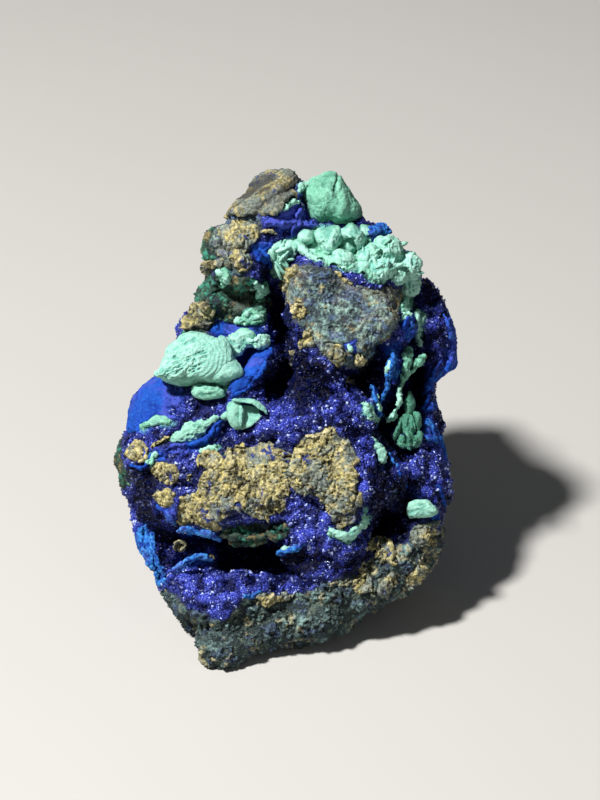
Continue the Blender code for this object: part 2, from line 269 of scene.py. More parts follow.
# Patches of each kind of surface, and lines, by their points across and up the face.
OCHRE = {  # rusty crust
    "crown slab": [(-8.9, 21.5), (-8.2, 22.6), (-6.6, 23.9), (-5.2, 25.6), (-3, 26.4), (-1, 26.8),
                   (0, 26.2), (-0.4, 24.8), (-1, 23.4), (-2, 22), (-3.2, 21.2), (-5.6, 21.4), (-8.6, 20.9)],
    "crown cheek": [(-9, 19.6), (-8, 20.4), (-6.6, 20.8), (-5, 20.2), (-4.6, 19), (-5.4, 18.2), (-6, 17),
                    (-5.6, 16.2), (-5.8, 15.2), (-7, 14.9), (-7.8, 15.8), (-8.4, 17), (-9.2, 18.2)],
    "left knobs": [(-11, 16.2), (-9.4, 16.7), (-8.8, 15.9), (-10, 15), (-10.8, 14.6), (-11.4, 15.2)],
    "left nub": [(-13.9, 8.2), (-13.7, 9.5), (-12.8, 9.8), (-12.3, 8.8), (-12.6, 8)],
    "far left": [(-12.5, 9.6), (-12, 11), (-10.8, 11.4), (-9.8, 10.6), (-9.6, 8.8), (-10.4, 7.8),
                 (-12.2, 8.2)],
    "shield top left": [(-2.4, 13.4), (-1.6, 15.2), (-0.4, 15.4), (-0.6, 14), (-1, 13), (-2, 12.6)],
    "shield left": [(-1.2, 9.2), (-1, 11), (0, 11), (0.8, 10.2), (0.6, 9.4), (-0.2, 9)],
    "shield chin": [(2.8, 6.8), (4, 6.4), (5.2, 6.2), (5.5, 5.2), (5.2, 4.2), (4.2, 3.9), (3, 4.8)],
    "shield chin right": [(6, 5.7), (7.2, 5.8), (7.6, 4.6), (6.6, 4)],
    "shield low left": [(0, 7.4), (0.4, 8.4), (1.4, 7.6), (1.6, 6.4), (0.6, 6)],
    "block": [(-9.2, -7.2), (-8.4, -5.8), (-7, -5.2), (-5.6, -5.8), (-4.6, -5), (-3, -4.9), (-1.6, -5.8),
              (-0.6, -6), (-0.2, -5), (0.8, -4.2), (2, -4.2), (3, -3.2), (4, -3.6), (4.6, -4.6), (6, -4.8),
              (6.2, -6), (6.6, -7.2), (6, -8), (6.6, -9.4), (7, -11), (6.4, -12.4), (6.2, -14), (5, -15),
              (4, -14.6), (3.2, -13.4), (2.6, -11.6), (1.2, -11), (-0.2, -10.6), (-1.3, -10.2),
              (-1.6, -11.6), (-1.6, -12.6), (-2.6, -13.2), (-4, -13.8), (-5.6, -13.4), (-7, -12.8),
              (-8, -12.6), (-8.4, -14), (-9.6, -15), (-11, -14.8), (-12, -14.4), (-14.2, -14.4),
              (-14.4, -12.6), (-14, -11.4), (-12.6, -11), (-11.8, -10), (-11.6, -8.6), (-10.2, -8.2)],
    "left disc": [(-20.4, -6.4), (-19.8, -5.2), (-18.6, -4.8), (-17.8, -5.6), (-17.8, -6.8), (-18.8, -7.4)],
    "left chip": [(-17, -5.4), (-16.4, -4.6), (-15.2, -4.2), (-14.8, -4.8), (-15.8, -5.4)],
    "cup": [(-12, -7), (-11.4, -6.2), (-10.2, -6), (-9.2, -6.6), (-9.4, -7.8), (-10.6, -8.2), (-11.6, -7.9)],
    "left grains": [(-17.6, -8), (-16.6, -7), (-15.4, -7.4), (-14.4, -8), (-14, -9), (-15, -9.6),
                    (-16.6, -8.9)],
    "left grain low": [(-13.4, -9), (-12.8, -8.4), (-12.2, -9), (-12.7, -9.6)],
    "left tooth": [(-16.8, -11.4), (-16, -10.2), (-14.9, -10.6), (-14.9, -12), (-16.2, -12.4)],
    "cave ring": [(-14.6, -17), (-14.1, -16.4), (-13.4, -16.6), (-13.3, -17.2), (-14, -17.7)],
    "cave bead": [(-3.2, -15.6), (-2.6, -15.1), (-2.1, -15.5), (-2.5, -16.1)],
    "rim crumbs": [(-5.6, -22.8), (-4.6, -22.2), (-2.8, -22.5), (-1.6, -22), (-0.4, -22.6), (-1.4, -23.3),
                   (-4, -23.5)],
    "rim knob": [(6, -21.6), (6.4, -20), (7.4, -19.2), (8.3, -20.4), (8.2, -21.8), (7, -22.5)],
    "right curl": [(7.8, -17.2), (8.4, -16.2), (9.6, -16), (10.4, -16.8), (10.9, -18.2), (11.4, -18.8),
                   (10.6, -19), (9.8, -17.6), (8.8, -18.6)],
    "right ledge": [(12.6, -16.4), (13, -14.9), (14.2, -14.2), (15.6, -14.1), (16.1, -15.4), (15, -17),
                    (13.6, -17.2)],
    "right foot": [(11.8, -21), (12.6, -20), (13.8, -19), (14.6, -19), (13.6, -20.6), (12.4, -21.9)],
    "right low": [(8.6, -22.6), (9.4, -20.8), (10.8, -20), (11.4, -21.2), (10.4, -22.8)],
}
VELVET = {  # matt, bright blue crust
    "shelf": [(-15.2, 6.4), (-21.6, -3), (-19, -3.7), (-17.4, -3.4), (-15.4, -2.9), (-14, -1.6),
              (-13.7, 0.4), (-13.8, 2), (-13, 5)],
    "dish": [(-7.8, 0.6), (-6.4, 1.3), (-5, 2.7), (-3.9, 4.5), (-3.1, 6.6), (-3.2, 7.8), (-8, 7), (-8.4, 2)],
    "shelf ledge": [(-17, -6.6), (-15.6, -5.7), (-14, -5.1), (-11.6, -4.9), (-9.8, -2.7), (-8.9, -2.4),
                    (-9.6, -4), (-10.6, -5.3), (-12.6, -6), (-15, -6.8), (-16.6, -7)],
    "flange": [(-19, -14.6), (-17.4, -14.5), (-16.9, -16), (-16.5, -18), (-15.4, -20), (-15.2, -21.4),
               (-16.4, -21.8), (-17.8, -20.4), (-18.6, -18.6), (-19.2, -16.6)],
    "cave lip": [(-14, -15), (-12.6, -14.8), (-11, -15), (-9.4, -15.9), (-11.6, -16.1), (-14, -15.6)],
    "cave rib": [(-14.6, -19.8), (-13, -18.6), (-11.6, -18), (-10, -17.9), (-10.2, -18.6), (-12.4, -19.1),
                 (-13.6, -20.2)],
    "tooth side": [(-16.6, -12.2), (-15, -12.2), (-14.3, -12.8), (-14.5, -14.2), (-15.4, -13.6)],
    "flank hollow": [(14.2, -1.9), (15.2, -2.2), (16, -3.4), (16.2, -4.8), (14.6, -4.8), (14, -3.4)],
    "ridge foot": [(14.2, -1.4), (15.2, -0.2), (15.4, 1), (16, -0.4), (15.6, -1.4)],
    "rib": [(11.8, 8.2), (12.2, 9.6), (13.4, 9.8), (13.5, 7.4), (12.6, 6.5), (11.8, 7)],
    "vein": [(10.1, 6.6), (11.4, 6.7), (11.7, 3), (11.3, 2), (10.3, 2.4), (10, 4.4)],
    "vein foot": [(10, 1.8), (11.4, 1.7), (11.4, 0), (10.6, -0.4), (9.9, 0.6)],
    "crown bit": [(7.4, 18.2), (8.6, 19.6), (10.4, 19.8), (10.2, 19), (8.6, 18)],
    "crown bit right": [(11.8, 17.6), (12.6, 18.2), (13.6, 17.8), (13.5, 16.8), (12.4, 16.6)],
    "crown gap": [(-5.4, 17.4), (-4.6, 18.5), (-3.2, 18.7), (-2.5, 18), (-3.2, 16.6), (-3.5, 15.2),
                  (-4.6, 15.8)],
    "crown star": [(-4.4, 20.6), (-2, 21.8), (-0.8, 23.4), (0.4, 22.4), (0.8, 20.8), (1.8, 20),
                   (-0.4, 18.4), (-1.6, 19.8), (-3.4, 20)],
    "under recess": [(-10, 9.6), (-8, 9), (-6, 8.7), (-3.4, 8.4), (-3.2, 7.2), (-8, 7), (-10, 7.6)],
    "ridge rim": [(16.9, 11.4), (18.2, 11.4), (19, 8), (19, 4), (17.8, 2.2), (15.6, 1.8), (14.8, 0.6),
                  (14.4, 1.8), (15.6, 3.2), (16.8, 4.6), (17.4, 6.4), (17.2, 8.6)],
    "ridge inside": [(14.6, 1.4), (14.9, 3.4), (15.5, 3.6), (15.4, 1.4)],
    "fold edge": [(15.8, -3.8), (17.4, -4.4), (18.8, -6), (18.8, -10), (17.6, -9.6), (17.1, -7.6),
                  (16.4, -5.6), (15.4, -4.6)],
    "gap blue": [(12, -0.6), (13.6, 0.6), (13.6, -1)],
    "chin blue": [(5.2, 6.6), (6, 6.8), (6.4, 5.8), (5.6, 5.6)],
    "star middle": [(8.1, -0.3), (8.7, 0.6), (9.4, -0.6), (9.2, -1.5), (8.6, -1.5)],
    "knob side": [(15.2, -12.6), (16.2, -13), (15.6, -14), (15, -13.6)],
}
RIND = {  # thin malachite
    "crown strip": [(-3.7, 17.4), (-2, 18.6), (-0.6, 18.6), (-0.8, 17), (-1.5, 16), (-2, 14.6), (-2.8, 14),
                    (-3.2, 14.8), (-3.2, 16)],
    "bead bed": [(-0.8, 18.4), (0, 20), (2, 19.8), (7, 19.6), (7.6, 19.8), (8.4, 18.6), (7.4, 17), (12, 14),
                 (13.8, 14.4), (14.2, 16), (13, 17), (10, 13.6), (7, 14.6), (3, 15.6), (1, 16.4)],
    "ledge crumb": [(-18.5, -2.9), (-17, -2), (-15.6, -1.9), (-14.8, -2.6), (-16.4, -2.9), (-18.2, -3.3)],
    "block rim": [(3, -14.8), (4.8, -15.5), (6.4, -14.7), (7.2, -13.6), (7.6, -12.4), (7.9, -13.8),
                  (6.5, -15.8), (5, -16.5), (3.4, -15.7)],
    "bead right": [(7, -0.4), (7.6, -0.6), (8.2, -1.4), (8.8, -2.2), (7.8, -2.1), (7.2, -1.2)],
    "ridge streak": [(13.5, 6.4), (13.6, 9), (13.9, 10.5), (14.3, 10), (14.2, 8), (14, 6.5)],
    "recess left": [(-9.7, 15.6), (-8.6, 15.2), (-8, 14), (-8.8, 13.3), (-9.5, 14.3)],
    "recess high": [(-5, 11.8), (-5, 13.2), (-4.2, 13.8), (-3.9, 12.8), (-4.2, 11.8)],
    "recess low": [(-7, 9.2), (-6.6, 10), (-5.6, 10.4), (-4.6, 11), (-3.8, 10.8), (-4.2, 9.8), (-5.4, 9)],
    "slab foot": [(-2.1, 21.8), (-1.2, 22.9), (-0.6, 22.8), (-1.2, 22)],
    "slab end": [(-0.2, 24), (0, 25), (1, 25), (1.2, 24)],
    "cup rim": [(-11.6, -5.9), (-10, -5.5), (-9, -5.9), (-10, -6.2)],
    "left glint": [(-17.8, -7.4), (-17.2, -6), (-16.6, -6.2), (-17, -7.6)],
    "rib glint": [(12, 9.4), (12.2, 10.1), (12.8, 10), (12.7, 9.4)],
    "vein glint": [(10.2, 4.4), (10.5, 5.1), (11.1, 4.8), (11, 3.4), (10.4, 3.4)],
    "shoulder": [(11.8, 14), (11.6, 10), (13, 10.4), (13.6, 13.4)],
}
SHIELD = {  # pale worn rock under the crown
    "shield": [(-2.4, 13.6), (-1.4, 15.4), (0.2, 15.5), (1.6, 15.5), (3.6, 15.1), (5, 14.3), (6.6, 13.3),
               (8.4, 13.1), (11, 13.3), (11.8, 12), (11.5, 9.6), (10.7, 7.4), (9.4, 6), (8.6, 4.6),
               (7, 3.3), (5.4, 3.8), (3.6, 4.2), (2.2, 5.6), (1.4, 7.2), (0.4, 8.2), (-0.8, 9),
               (-1.4, 10.4), (-1.6, 12)],
    "crown": [(-9.8, 20.4), (-9, 21.4), (-5.6, 21.6), (-4.2, 20.9), (-4.5, 19), (-5.3, 18), (-5.5, 15.2),
              (-7, 14.5), (-8.4, 15), (-9.6, 16.4), (-10.4, 18.4)],
}
RIM = {  # broken rock along the foot
    "foot": [(-16.4, -21.6), (-15, -22.2), (-13.4, -23.8), (-11.2, -24.8), (-9.2, -25.6), (-7.6, -24.4),
             (-6.6, -23), (-4.4, -22.5), (0, -22.3), (2, -21.7), (4, -21.1), (6, -20), (7, -19),
             (8.2, -18.2), (9, -17.2), (11, -17), (13, -16.4), (16.4, -14.4), (18, -16), (16, -20),
             (10, -25), (4, -28), (-2, -30), (-8, -33), (-12, -31), (-18, -23)],
}
MOSS = {  # rock stained by copper
    "recess": [(-9.6, 16), (-8, 14.6), (-5.6, 14.6), (-4, 13.4), (-3.6, 10.2), (-5, 8.6), (-9.4, 9),
               (-10.4, 12)],
    "crown edge": [(-11.6, 14), (-11.6, 19), (-10, 20.6), (-9.5, 18.6), (-9.3, 16.6), (-10, 15)],
    "nubs": [(-15.8, 7), (-15.2, 10.6), (-13.4, 13.2), (-12, 14.8), (-10.2, 14.8), (-9.8, 12.4), (-9.6, 10),
             (-9.6, 7.8), (-12, 7.2)],
    "left edge": [(-22.4, -4.4), (-20.7, -4.3), (-20.3, -8), (-19.6, -10), (-21.4, -10.4), (-22.4, -7)],
    "cave roof": [(-9, -14.7), (-4, -14.2), (-1.4, -13.9), (-1.6, -15.6), (-3.4, -16.3), (-9, -16)],
}

PAINTED_SHADE = {  # painted shade: hollows and spots in shadow, where the crystals are darkened to nearly black
    "cleft": [(-4, 13.8), (-2.8, 14), (-1.8, 11), (-1.4, 8.6), (-0.6, 7), (0.6, 5.4), (2.2, 4.2),
              (3.6, 2.8), (4.2, 1.2), (3.4, 0), (0.6, -0.5), (-1.6, 0.2), (-3.4, 0.6), (-5, 1.4), (-4, 2.8),
              (-3.2, 5.4), (-2.9, 8), (-3.6, 10.6)],
    "beside nose": [(4.2, 3.3), (5.6, 1.6), (6.4, 0.4), (7.2, 0.6), (8.2, 2), (8.8, 3.6), (9.8, 4.2),
                    (9.6, 6.4), (8.4, 4.4), (7, 3.2)],
    "gap": [(12.8, 3.4), (14, 4.2), (14.6, 3), (14.4, 0), (13.8, -1.2), (13.3, 0), (12.9, 1.6)],
    "under tuft": [(8.6, -2.6), (10.4, -2.8), (11.4, -4.4), (12.4, -6.4), (12.4, -7.8), (11.2, -6.8),
                   (10.2, -5), (9.2, -4)],
    "pit": [(7.9, -11.6), (10, -12), (12.2, -11.8), (12, -15.6), (8.2, -15.2)],
    "below leaf": [(9.4, -7.4), (11, -7.6), (12.2, -9.8), (12.6, -11.6), (10.6, -12), (9.2, -11.4), (9, -9)],
    "left wall": [(-20, -8), (-17.4, -8), (-16.8, -9.6), (-17.2, -12), (-16.4, -14), (-14.4, -15),
                  (-14.4, -16.6), (-16.4, -16.4), (-18.4, -13.6), (-19.6, -10.6)],
    "cave": [(-9.6, -16.4), (-3, -16.8), (1, -18), (3.4, -18.4), (2.6, -19.4), (-1, -20.4), (-6, -20),
             (-9.8, -19.2)],
}
SUGAR = {  # fine, matt, violet blue
    "saddle": [(-4.6, -2.6), (-2, -1.7), (1, -1.7), (3.6, -0.9), (5, 0.4), (6, 0.2), (7, -1.2), (8, -3),
               (8.4, -6), (7.9, -9), (7.6, -11.6), (6.9, -11), (6.6, -8), (6.3, -5.2), (4.8, -4.4),
               (3.2, -3), (0, -4), (-2, -4.6), (-5.4, -4.8), (-6.4, -4.2)],
    "nose edge": [(2, 5), (3.6, 4), (4.8, 2.6), (5.5, 1), (4.9, 0.2), (3.8, 1.8), (2.6, 3.4)],
    "dent": [(-8, -13.4), (-6, -13.6), (-4, -14), (-2.2, -13.2), (-1.4, -11.4), (0.6, -11.4), (2, -12.2),
             (2.8, -13.4), (3.2, -15), (4.6, -16.6), (6.4, -16.4), (7.6, -14.8), (7.9, -16.2), (6.6, -18),
             (4, -19.4), (2.8, -18.4), (0.8, -17.4), (-0.6, -16.6), (-0.8, -15), (-1.6, -14.2),
             (-4.6, -14.8)],
    "cave floor": [(-14.6, -20.2), (-11, -20), (-8, -20.4), (-4, -21), (1, -21), (4, -19.8), (3.4, -19.4),
                   (0, -20.6), (0, -22.4), (-4.6, -22.7), (-6.6, -23.2), (-7.6, -24.2), (-10, -25.6),
                   (-11.2, -25), (-13.4, -23.8)],
    "crown fold": [(-4.6, 20.8), (-2, 21.6), (0.8, 22), (1.6, 20.4), (-0.4, 18.8), (-1.6, 19.8), (-4, 19.8)],
    "flank": [(12.6, -6.8), (14.6, -5.8), (16.4, -7.4), (17.2, -9), (16.2, -10.8), (13.4, -10.6), (12.8, -9)],
}
CRESTS = [  # lines along which the crust stands up: width and height, then the points
    (0.42, 0.8, [(-8.2, 0.5), (-6.4, 1.2), (-4.8, 2.6), (-3.7, 4.4), (-3, 6.4), (-3.1, 7.8)]),
    (0.4, 0.8, [(1.2, 4.6), (2.8, 3.8), (4, 2.6), (5, 1.4), (5.6, 0.2)]),
    (0.5, 1.0, [(9, -3.8), (10, -5.4), (10.9, -7.2), (11.6, -9), (12, -10.6)]),
    (0.5, 0.6, [(-18.4, -14.8), (-18, -17), (-17, -19.4), (-16, -21.2)]),
    (0.35, 0.7, [(-15.6, -6), (-12.4, -5.4), (-10.4, -4.4), (-9.2, -2.8)]),
    (0.35, 0.6, [(-13.4, -23.9), (-11.2, -25), (-9.6, -25.7)]),
    (0.35, 0.7, [(-4, 20.5), (-1, 20.6), (1.6, 20.2)]),
    (0.3, 0.6, [(-1.2, 19), (-0.8, 20.4), (-0.1, 22.4)]),
    (0.35, 0.6, [(15, -6.4), (16.6, -8), (16, -10), (17, -12)]),
    (0.35, 0.6, [(13.6, 14.2), (15.6, 12.4), (16.6, 10), (17.4, 7), (17.4, 4)]),
    (0.35, 0.6, [(15, 2.6), (14.8, 0.6), (15.2, -1.6)]),
    (0.5, 0.7, [(-1.8, 12.4), (-1.4, 10), (-0.6, 8.6), (0.8, 7.6), (2, 5.8)]),
    (0.5, 0.7, [(5.2, -0.2), (6.6, -1.2), (7.8, -3.2), (8.2, -5.6), (7.8, -8.4), (7.4, -11)]),
    (0.8, 0.9, [(-6, -4.1), (-3, -3.1), (0, -2.2), (3, -1.7), (5.2, -0.7)]),
    (0.5, 0.8, [(5, 0.2), (6.2, 0.1), (7, -1), (7.6, -2.6)]),
    (0.5, 0.7, [(-14, -21.2), (-11, -20.6), (-8, -21), (-4.6, -21.4), (-1, -21.2), (2, -20.2)]),
    (0.5, 0.7, [(-9.6, -22.8), (-8, -23.4), (-6.6, -22.8)]),
    (0.6, 0.8, [(0, -15), (1.6, -15.4), (3, -16.4), (5, -17.4), (6.6, -17)]),
    (0.9, 1.4, [(0.4, -16.2), (-0.5, -17.4), (-0.1, -18.8)]),
    (1.1, 1.3, [(-7.2, 0.9), (-6, 1.8), (-4.9, 3.2), (-4.4, 4.6)]),
]
SLAB_SPLIT = [(-4.8, 22), (-3.4, 23.1), (-2, 24.1), (-0.7, 24.9)]
GROOVES = [  # lines along which it is cut in: width and depth, then the points
    (1.3, 1.5, [(-12.4, 14.6), (-13, 12.8), (-14, 11.2), (-15, 9.4), (-15.2, 7.6)]),
    (1.3, 1.1, [(16.9, 1.6), (16.9, 0.2), (17, -1)]),
    (0.4, 0.8, [(-9.2, 17.9), (-7.6, 17.4), (-6, 17.4)]),
    (0.35, 0.7, [(-8.2, 17), (-7.9, 15.2)]),
    (0.8, 1.8, [(-3, 15), (-2.6, 12), (-2.2, 9), (-1.9, 6), (-2, 3), (-3.4, 0.9)]),
    (0.6, 1.2, [(-9.6, 12.6), (-7.6, 11.6), (-5.4, 12)]),
    (0.5, 1.0, [(-12, -15.9), (-9, -16.6), (-5, -16.6)]),
    (0.6, 1.2, [(9.6, 6), (10.2, 3), (10.4, 0), (9.8, -3)]),
    (0.6, 1.2, [(12, -5.8), (13.4, -5.4), (15.4, -5.4)]),
    (0.5, 0.9, [(-0.6, -11), (1.2, -12), (2.4, -13)]),
    (0.5, 0.9, [(-14, -10), (-13.4, -12.4), (-14.6, -15)]),
    (0.5, 1.0, [(-17.4, -8.4), (-15.4, -9.8), (-12.6, -9.8)]),
    (0.5, 0.8, [(-9, -2.9), (-8.2, -4)]),
    (1.2, 1.5, [(0.6, 2.8), (2, 1.5), (3.3, 0.9)]),
    (0.8, 2.0, [(9.6, -2.8), (11, -4.4), (12.2, -6.2), (12.7, -8.4), (12.6, -10.6)]),
    (1.2, 2.0, [(5.9, 1.5), (7.3, 1.9), (8.7, 3.4)]),
    (0.6, 1.0, [(-12.6, -22.2), (-10.6, -22), (-8.6, -22.3)]),
    (0.6, 1.0, [(1, -18.6), (2.8, -18.4), (4.2, -18.9)]),
    (0.6, 1.0, [(-15.4, -8.6), (-13.4, -8), (-12.6, -8.6)]),
    (0.5, 0.8, [(-6.4, -5.2), (-3, -4.6), (-0.6, -5.4)]),
    (0.4, 0.8, [(-8, -14.4), (-5, -14.8), (-2, -14.4)]),
    (0.4, 0.7, [(2.8, -11.4), (3.4, -13), (4.2, -14.4)]),
    (0.4, 0.7, [(-0.8, -6.4), (-1.6, -8.4), (-1.2, -10)]),
    (0.5, 0.7, [(-10.4, 20.6), (-8, 21), (-5.4, 21)]),
    (0.4, 0.8, SLAB_SPLIT),
]


def on_show(normals, out):
    """1 on the show side of the lump and 0 behind it."""
    return smooth_step(-0.5, -0.1, normals @ FACE_AXES[2]) * smooth_step(-13, -9, out)


points = numbers(lump.data.vertices, "co", 3).astype(float)
normals = numbers(lump.data.vertex_normals, "vector", 3).astype(float)
across, up, out = as_seen(points)
seen = on_show(normals, out)
for lines, way in ((CRESTS, 1), (GROOVES, -1)):
    for width, height, line in lines:
        points += normals * (way * seen * height * along(across, up, line, width))[:, None] * MM
lump.data.vertices.foreach_set("co", points.ravel().astype(np.float32))
lump.data.update()
normals = numbers(lump.data.vertex_normals, "vector", 3).astype(float)


def kinds(points, normals, place):
    """The share of each kind of surface at every point, and how brightly its crystals shine: in outlines on
    the show side, in clouds behind. Rind lies over ochre, ochre over velvet, and velvet over the rest."""
    across, up, out = as_seen(points)
    seen = on_show(normals, out)
    behind = 1 - seen
    ragged_across = across + 0.5 * clouds(place, 1.3, 1)
    ragged_up = up + 0.5 * clouds(place, 1.3, 11)

    def within(patches, soft=0.3):
        """1 inside any of the patches and 0 outside, with a ragged edge, soft millimetres wide each way."""
        depths = [depth_inside(ragged_across, ragged_up, outline) for outline in patches.values()]
        return seen * smooth_step(-soft, soft, np.max(depths, axis=0))

    patchy = clouds(place, 9, 21) + 0.3 * clouds(place, 1.8, 5)
    ochre = within(OCHRE) + behind * smooth_step(0.14, 0.32, patchy)
    velvet = within(VELVET, 0.55) + behind * smooth_step(0.4, 0.7, clouds(place, 4, 31))
    rind = within(RIND, 0.25) + behind * smooth_step(0.7, 0.8, clouds(place, 4, 41))
    rim = within(RIM, 0.5) + behind * smooth_step(-0.1, 0.25, clouds(place, 12, 51, 2) - 0.02 * (up + 10))
    moss = within(MOSS, 0.5) + behind * smooth_step(0.3, 0.5, clouds(place, 8, 55))
    share = {"rind": rind, "ochre": np.clip(ochre - rind, 0, 1)}
    share["velvet"] = np.clip(velvet - share["ochre"] - rind, 0, 1)
    share["shield"] = np.clip(within(SHIELD) - share["ochre"] - share["velvet"] - rind, 0, 1)
    share["rim"] = np.clip(rim - share["ochre"] - share["velvet"] - rind, 0, 1)
    share["moss"] = np.clip(moss - share["ochre"] - share["velvet"] - rind - share["shield"], 0, 1)
    share["druse"] = np.clip(1 - sum(share.values()), 0, 1)
    # Painted shade: the crystals are darkened where shadow falls in the hollows.
    share["glow"] = np.clip(0.42 + 0.58 * within(SUGAR, 0.5) - 0.75 * within(PAINTED_SHADE, 0.7)
                            + 0.45 * clouds(place, 1.9, 57), 0, 1)
    return share


place = points / MM
facing = normals @ FACE_AXES[2]
shares_here = kinds(points, normals, place)
rind, ochre, velvet, shield, rim, moss, druse, glow = shares_here.values()
matrix = ochre + shield + rim + moss
fringe = velvet * seen * smooth_step(-16.6, -14.4, across) * smooth_step(-11, -13.4, across)

# The druse swells in knots, crumbs and grains round scattered points: a cone on each, of reach and height.
KNOTS = ((2.1, 13, 0.62, 0.6), (1.05, 3, 0.58, 0.5), (0.55, 9, 0.52, 0.4))  # grain, seed, reach, height
bump = 0
for grain, seed, reach, height in KNOTS:
    bump = bump + height * (reach - cells(place, grain, seed)[0])
relief = 0.5 * clouds(place, 3.2, 61) * (1 - 0.75 * velvet * seen)
relief = relief + druse * (bump + 0.28 * clouds(place, 1.3, 63)) - 0.12 * matrix
points += normals * relief[:, None] * MM
points[:, 2] = np.maximum(points[:, 2], 0)
lump.data.vertices.foreach_set("co", points.ravel().astype(np.float32))
# Painted highlight and shade: the crystals are brighter on the tops of the knots and darker between them.
glow = np.clip(glow * (0.06 + 1.5 * smooth_step(-0.12, 0.34, bump)) ** druse, 0, 1)
for name, values in (("velvet", velvet), ("rind", rind), ("matrix", matrix), ("glow", glow)):
    note(lump.data, name, values)
lump.data.shade_smooth()
lump.data.update()


def speckle_group():
    """Blotches of two sizes laid over each other: coarse noise and fine noise, each sharpened to a mask."""
    group = bpy.data.node_groups.new("speckle", "ShaderNodeTree")
    for name, value in (("Coarse", 900), ("Fine", 4000), ("Cut", 0.5), ("Softness", 0.1)):
        group.interface.new_socket(name, in_out="INPUT", socket_type="NodeSocketFloat").default_value = value
    group.interface.new_socket("Coarse Mask", in_out="OUTPUT", socket_type="NodeSocketFloat")
    group.interface.new_socket("Fine Mask", in_out="OUTPUT", socket_type="NodeSocketFloat")
    nodes, links = group.nodes, group.links
    entry, leave = nodes.new("NodeGroupInput"), nodes.new("NodeGroupOutput")
    place = nodes.new("ShaderNodeTexCoord")
    high = nodes.new("ShaderNodeMath")
    high.operation = "ADD"
    links.new(entry.outputs["Cut"], high.inputs[0])
    links.new(entry.outputs["Softness"], high.inputs[1])
    for size, mask in (("Coarse", "Coarse Mask"), ("Fine", "Fine Mask")):
        noise = nodes.new("ShaderNodeTexNoise")
        noise.inputs["Detail"].default_value = 5
        noise.inputs["Roughness"].default_value = 0.6
        links.new(place.outputs["Object"], noise.inputs["Vector"])
        links.new(entry.outputs[size], noise.inputs["Scale"])
        cut = nodes.new("ShaderNodeMapRange")
        cut.interpolation_type = "SMOOTHSTEP"
        links.new(noise.outputs["Fac"], cut.inputs["Value"])
        links.new(entry.outputs["Cut"], cut.inputs["From Min"])
        links.new(high.outputs["Value"], cut.inputs["From Max"])
        links.new(cut.outputs["Result"], leave.inputs[mask])
    return group


speckle = speckle_group()


class Paintbox:
    """A material's node tree, with a few words for what is laid on it."""

    def __init__(self, name, roughness):
        self.material = bpy.data.materials.new(name)
        self.material.use_nodes = True
        self.nodes, self.links = self.material.node_tree.nodes, self.material.node_tree.links
        self.shader = self.nodes["Principled BSDF"]
        self.shader.inputs["Roughness"].default_value = roughness
        self.place = self.nodes.new("ShaderNodeTexCoord").outputs["Object"]

    def kept(self, name):
        """A value kept on the mesh's vertices."""
        node = self.nodes.new("ShaderNodeAttribute")
        node.attribute_name = name
        return node.outputs["Fac"]

    def speckled(self, coarse, fine, cut, softness):
        """The masks of coarse and fine blotches."""
        node = self.nodes.new("ShaderNodeGroup")
        node.node_tree = speckle
        for name, value in (("Coarse", coarse), ("Fine", fine), ("Cut", cut), ("Softness", softness)):
            node.inputs[name].default_value = value
        return node.outputs["Coarse Mask"], node.outputs["Fine Mask"]

    def mixed(self, share, below, above):
        """Colour above laid over colour below by a share, each a colour or an output."""
        node = self.nodes.new("ShaderNodeMix")
        node.data_type = "RGBA"
        self.plug(share, node.inputs["Factor"])
        self.plug(below, node.inputs["A"])
        self.plug(above, node.inputs["B"])
        return node.outputs["Result"]

    def reckoned(self, operation, *values):
        """The result of a maths node."""
        node = self.nodes.new("ShaderNodeMath")
        node.operation = operation
        for value, socket in zip(values, node.inputs):
            self.plug(value, socket)
        return node.outputs["Value"]

    def times(self, value, factor):
        """One value times another."""
        return self.reckoned("MULTIPLY", value, factor)

    def spread(self, value, low, high):
        """A value spread out so that low gives 0 and high gives 1."""
        node = self.nodes.new("ShaderNodeMapRange")
        self.plug(value, node.inputs["Value"])
        self.plug(low, node.inputs["From Min"])
        self.plug(high, node.inputs["From Max"])
        return node.outputs["Result"]

    def plug(self, value, socket):
        """Links an output to a socket, or sets the socket to a colour or a number."""
        if isinstance(value, bpy.types.NodeSocket):
            self.links.new(value, socket)
        else:
            socket.default_value = (*value, 1) if isinstance(value, tuple) else value

    def texture(self, kind, scale, **values):
        """A texture node over the object's own coordinates."""
        node = self.nodes.new("ShaderNodeTex" + kind)
        self.links.new(self.place, node.inputs["Vector"])
        for name, value in {"Scale": scale, **values}.items():
            node.inputs[name].default_value = value
        return node

    def bumped(self, height, distance, strength=1.0):
        """Bumps the surface by a height, in units of distance."""
        node = self.nodes.new("ShaderNodeBump")
        node.inputs["Distance"].default_value = distance
        node.inputs["Strength"].default_value = strength
        self.plug(height, node.inputs["Height"])
        self.links.new(node.outputs["Normal"], self.shader.inputs["Normal"])

    def coloured(self, colour):
        """Gives the surface its colour."""
        self.plug(colour, self.shader.inputs["Base Color"])


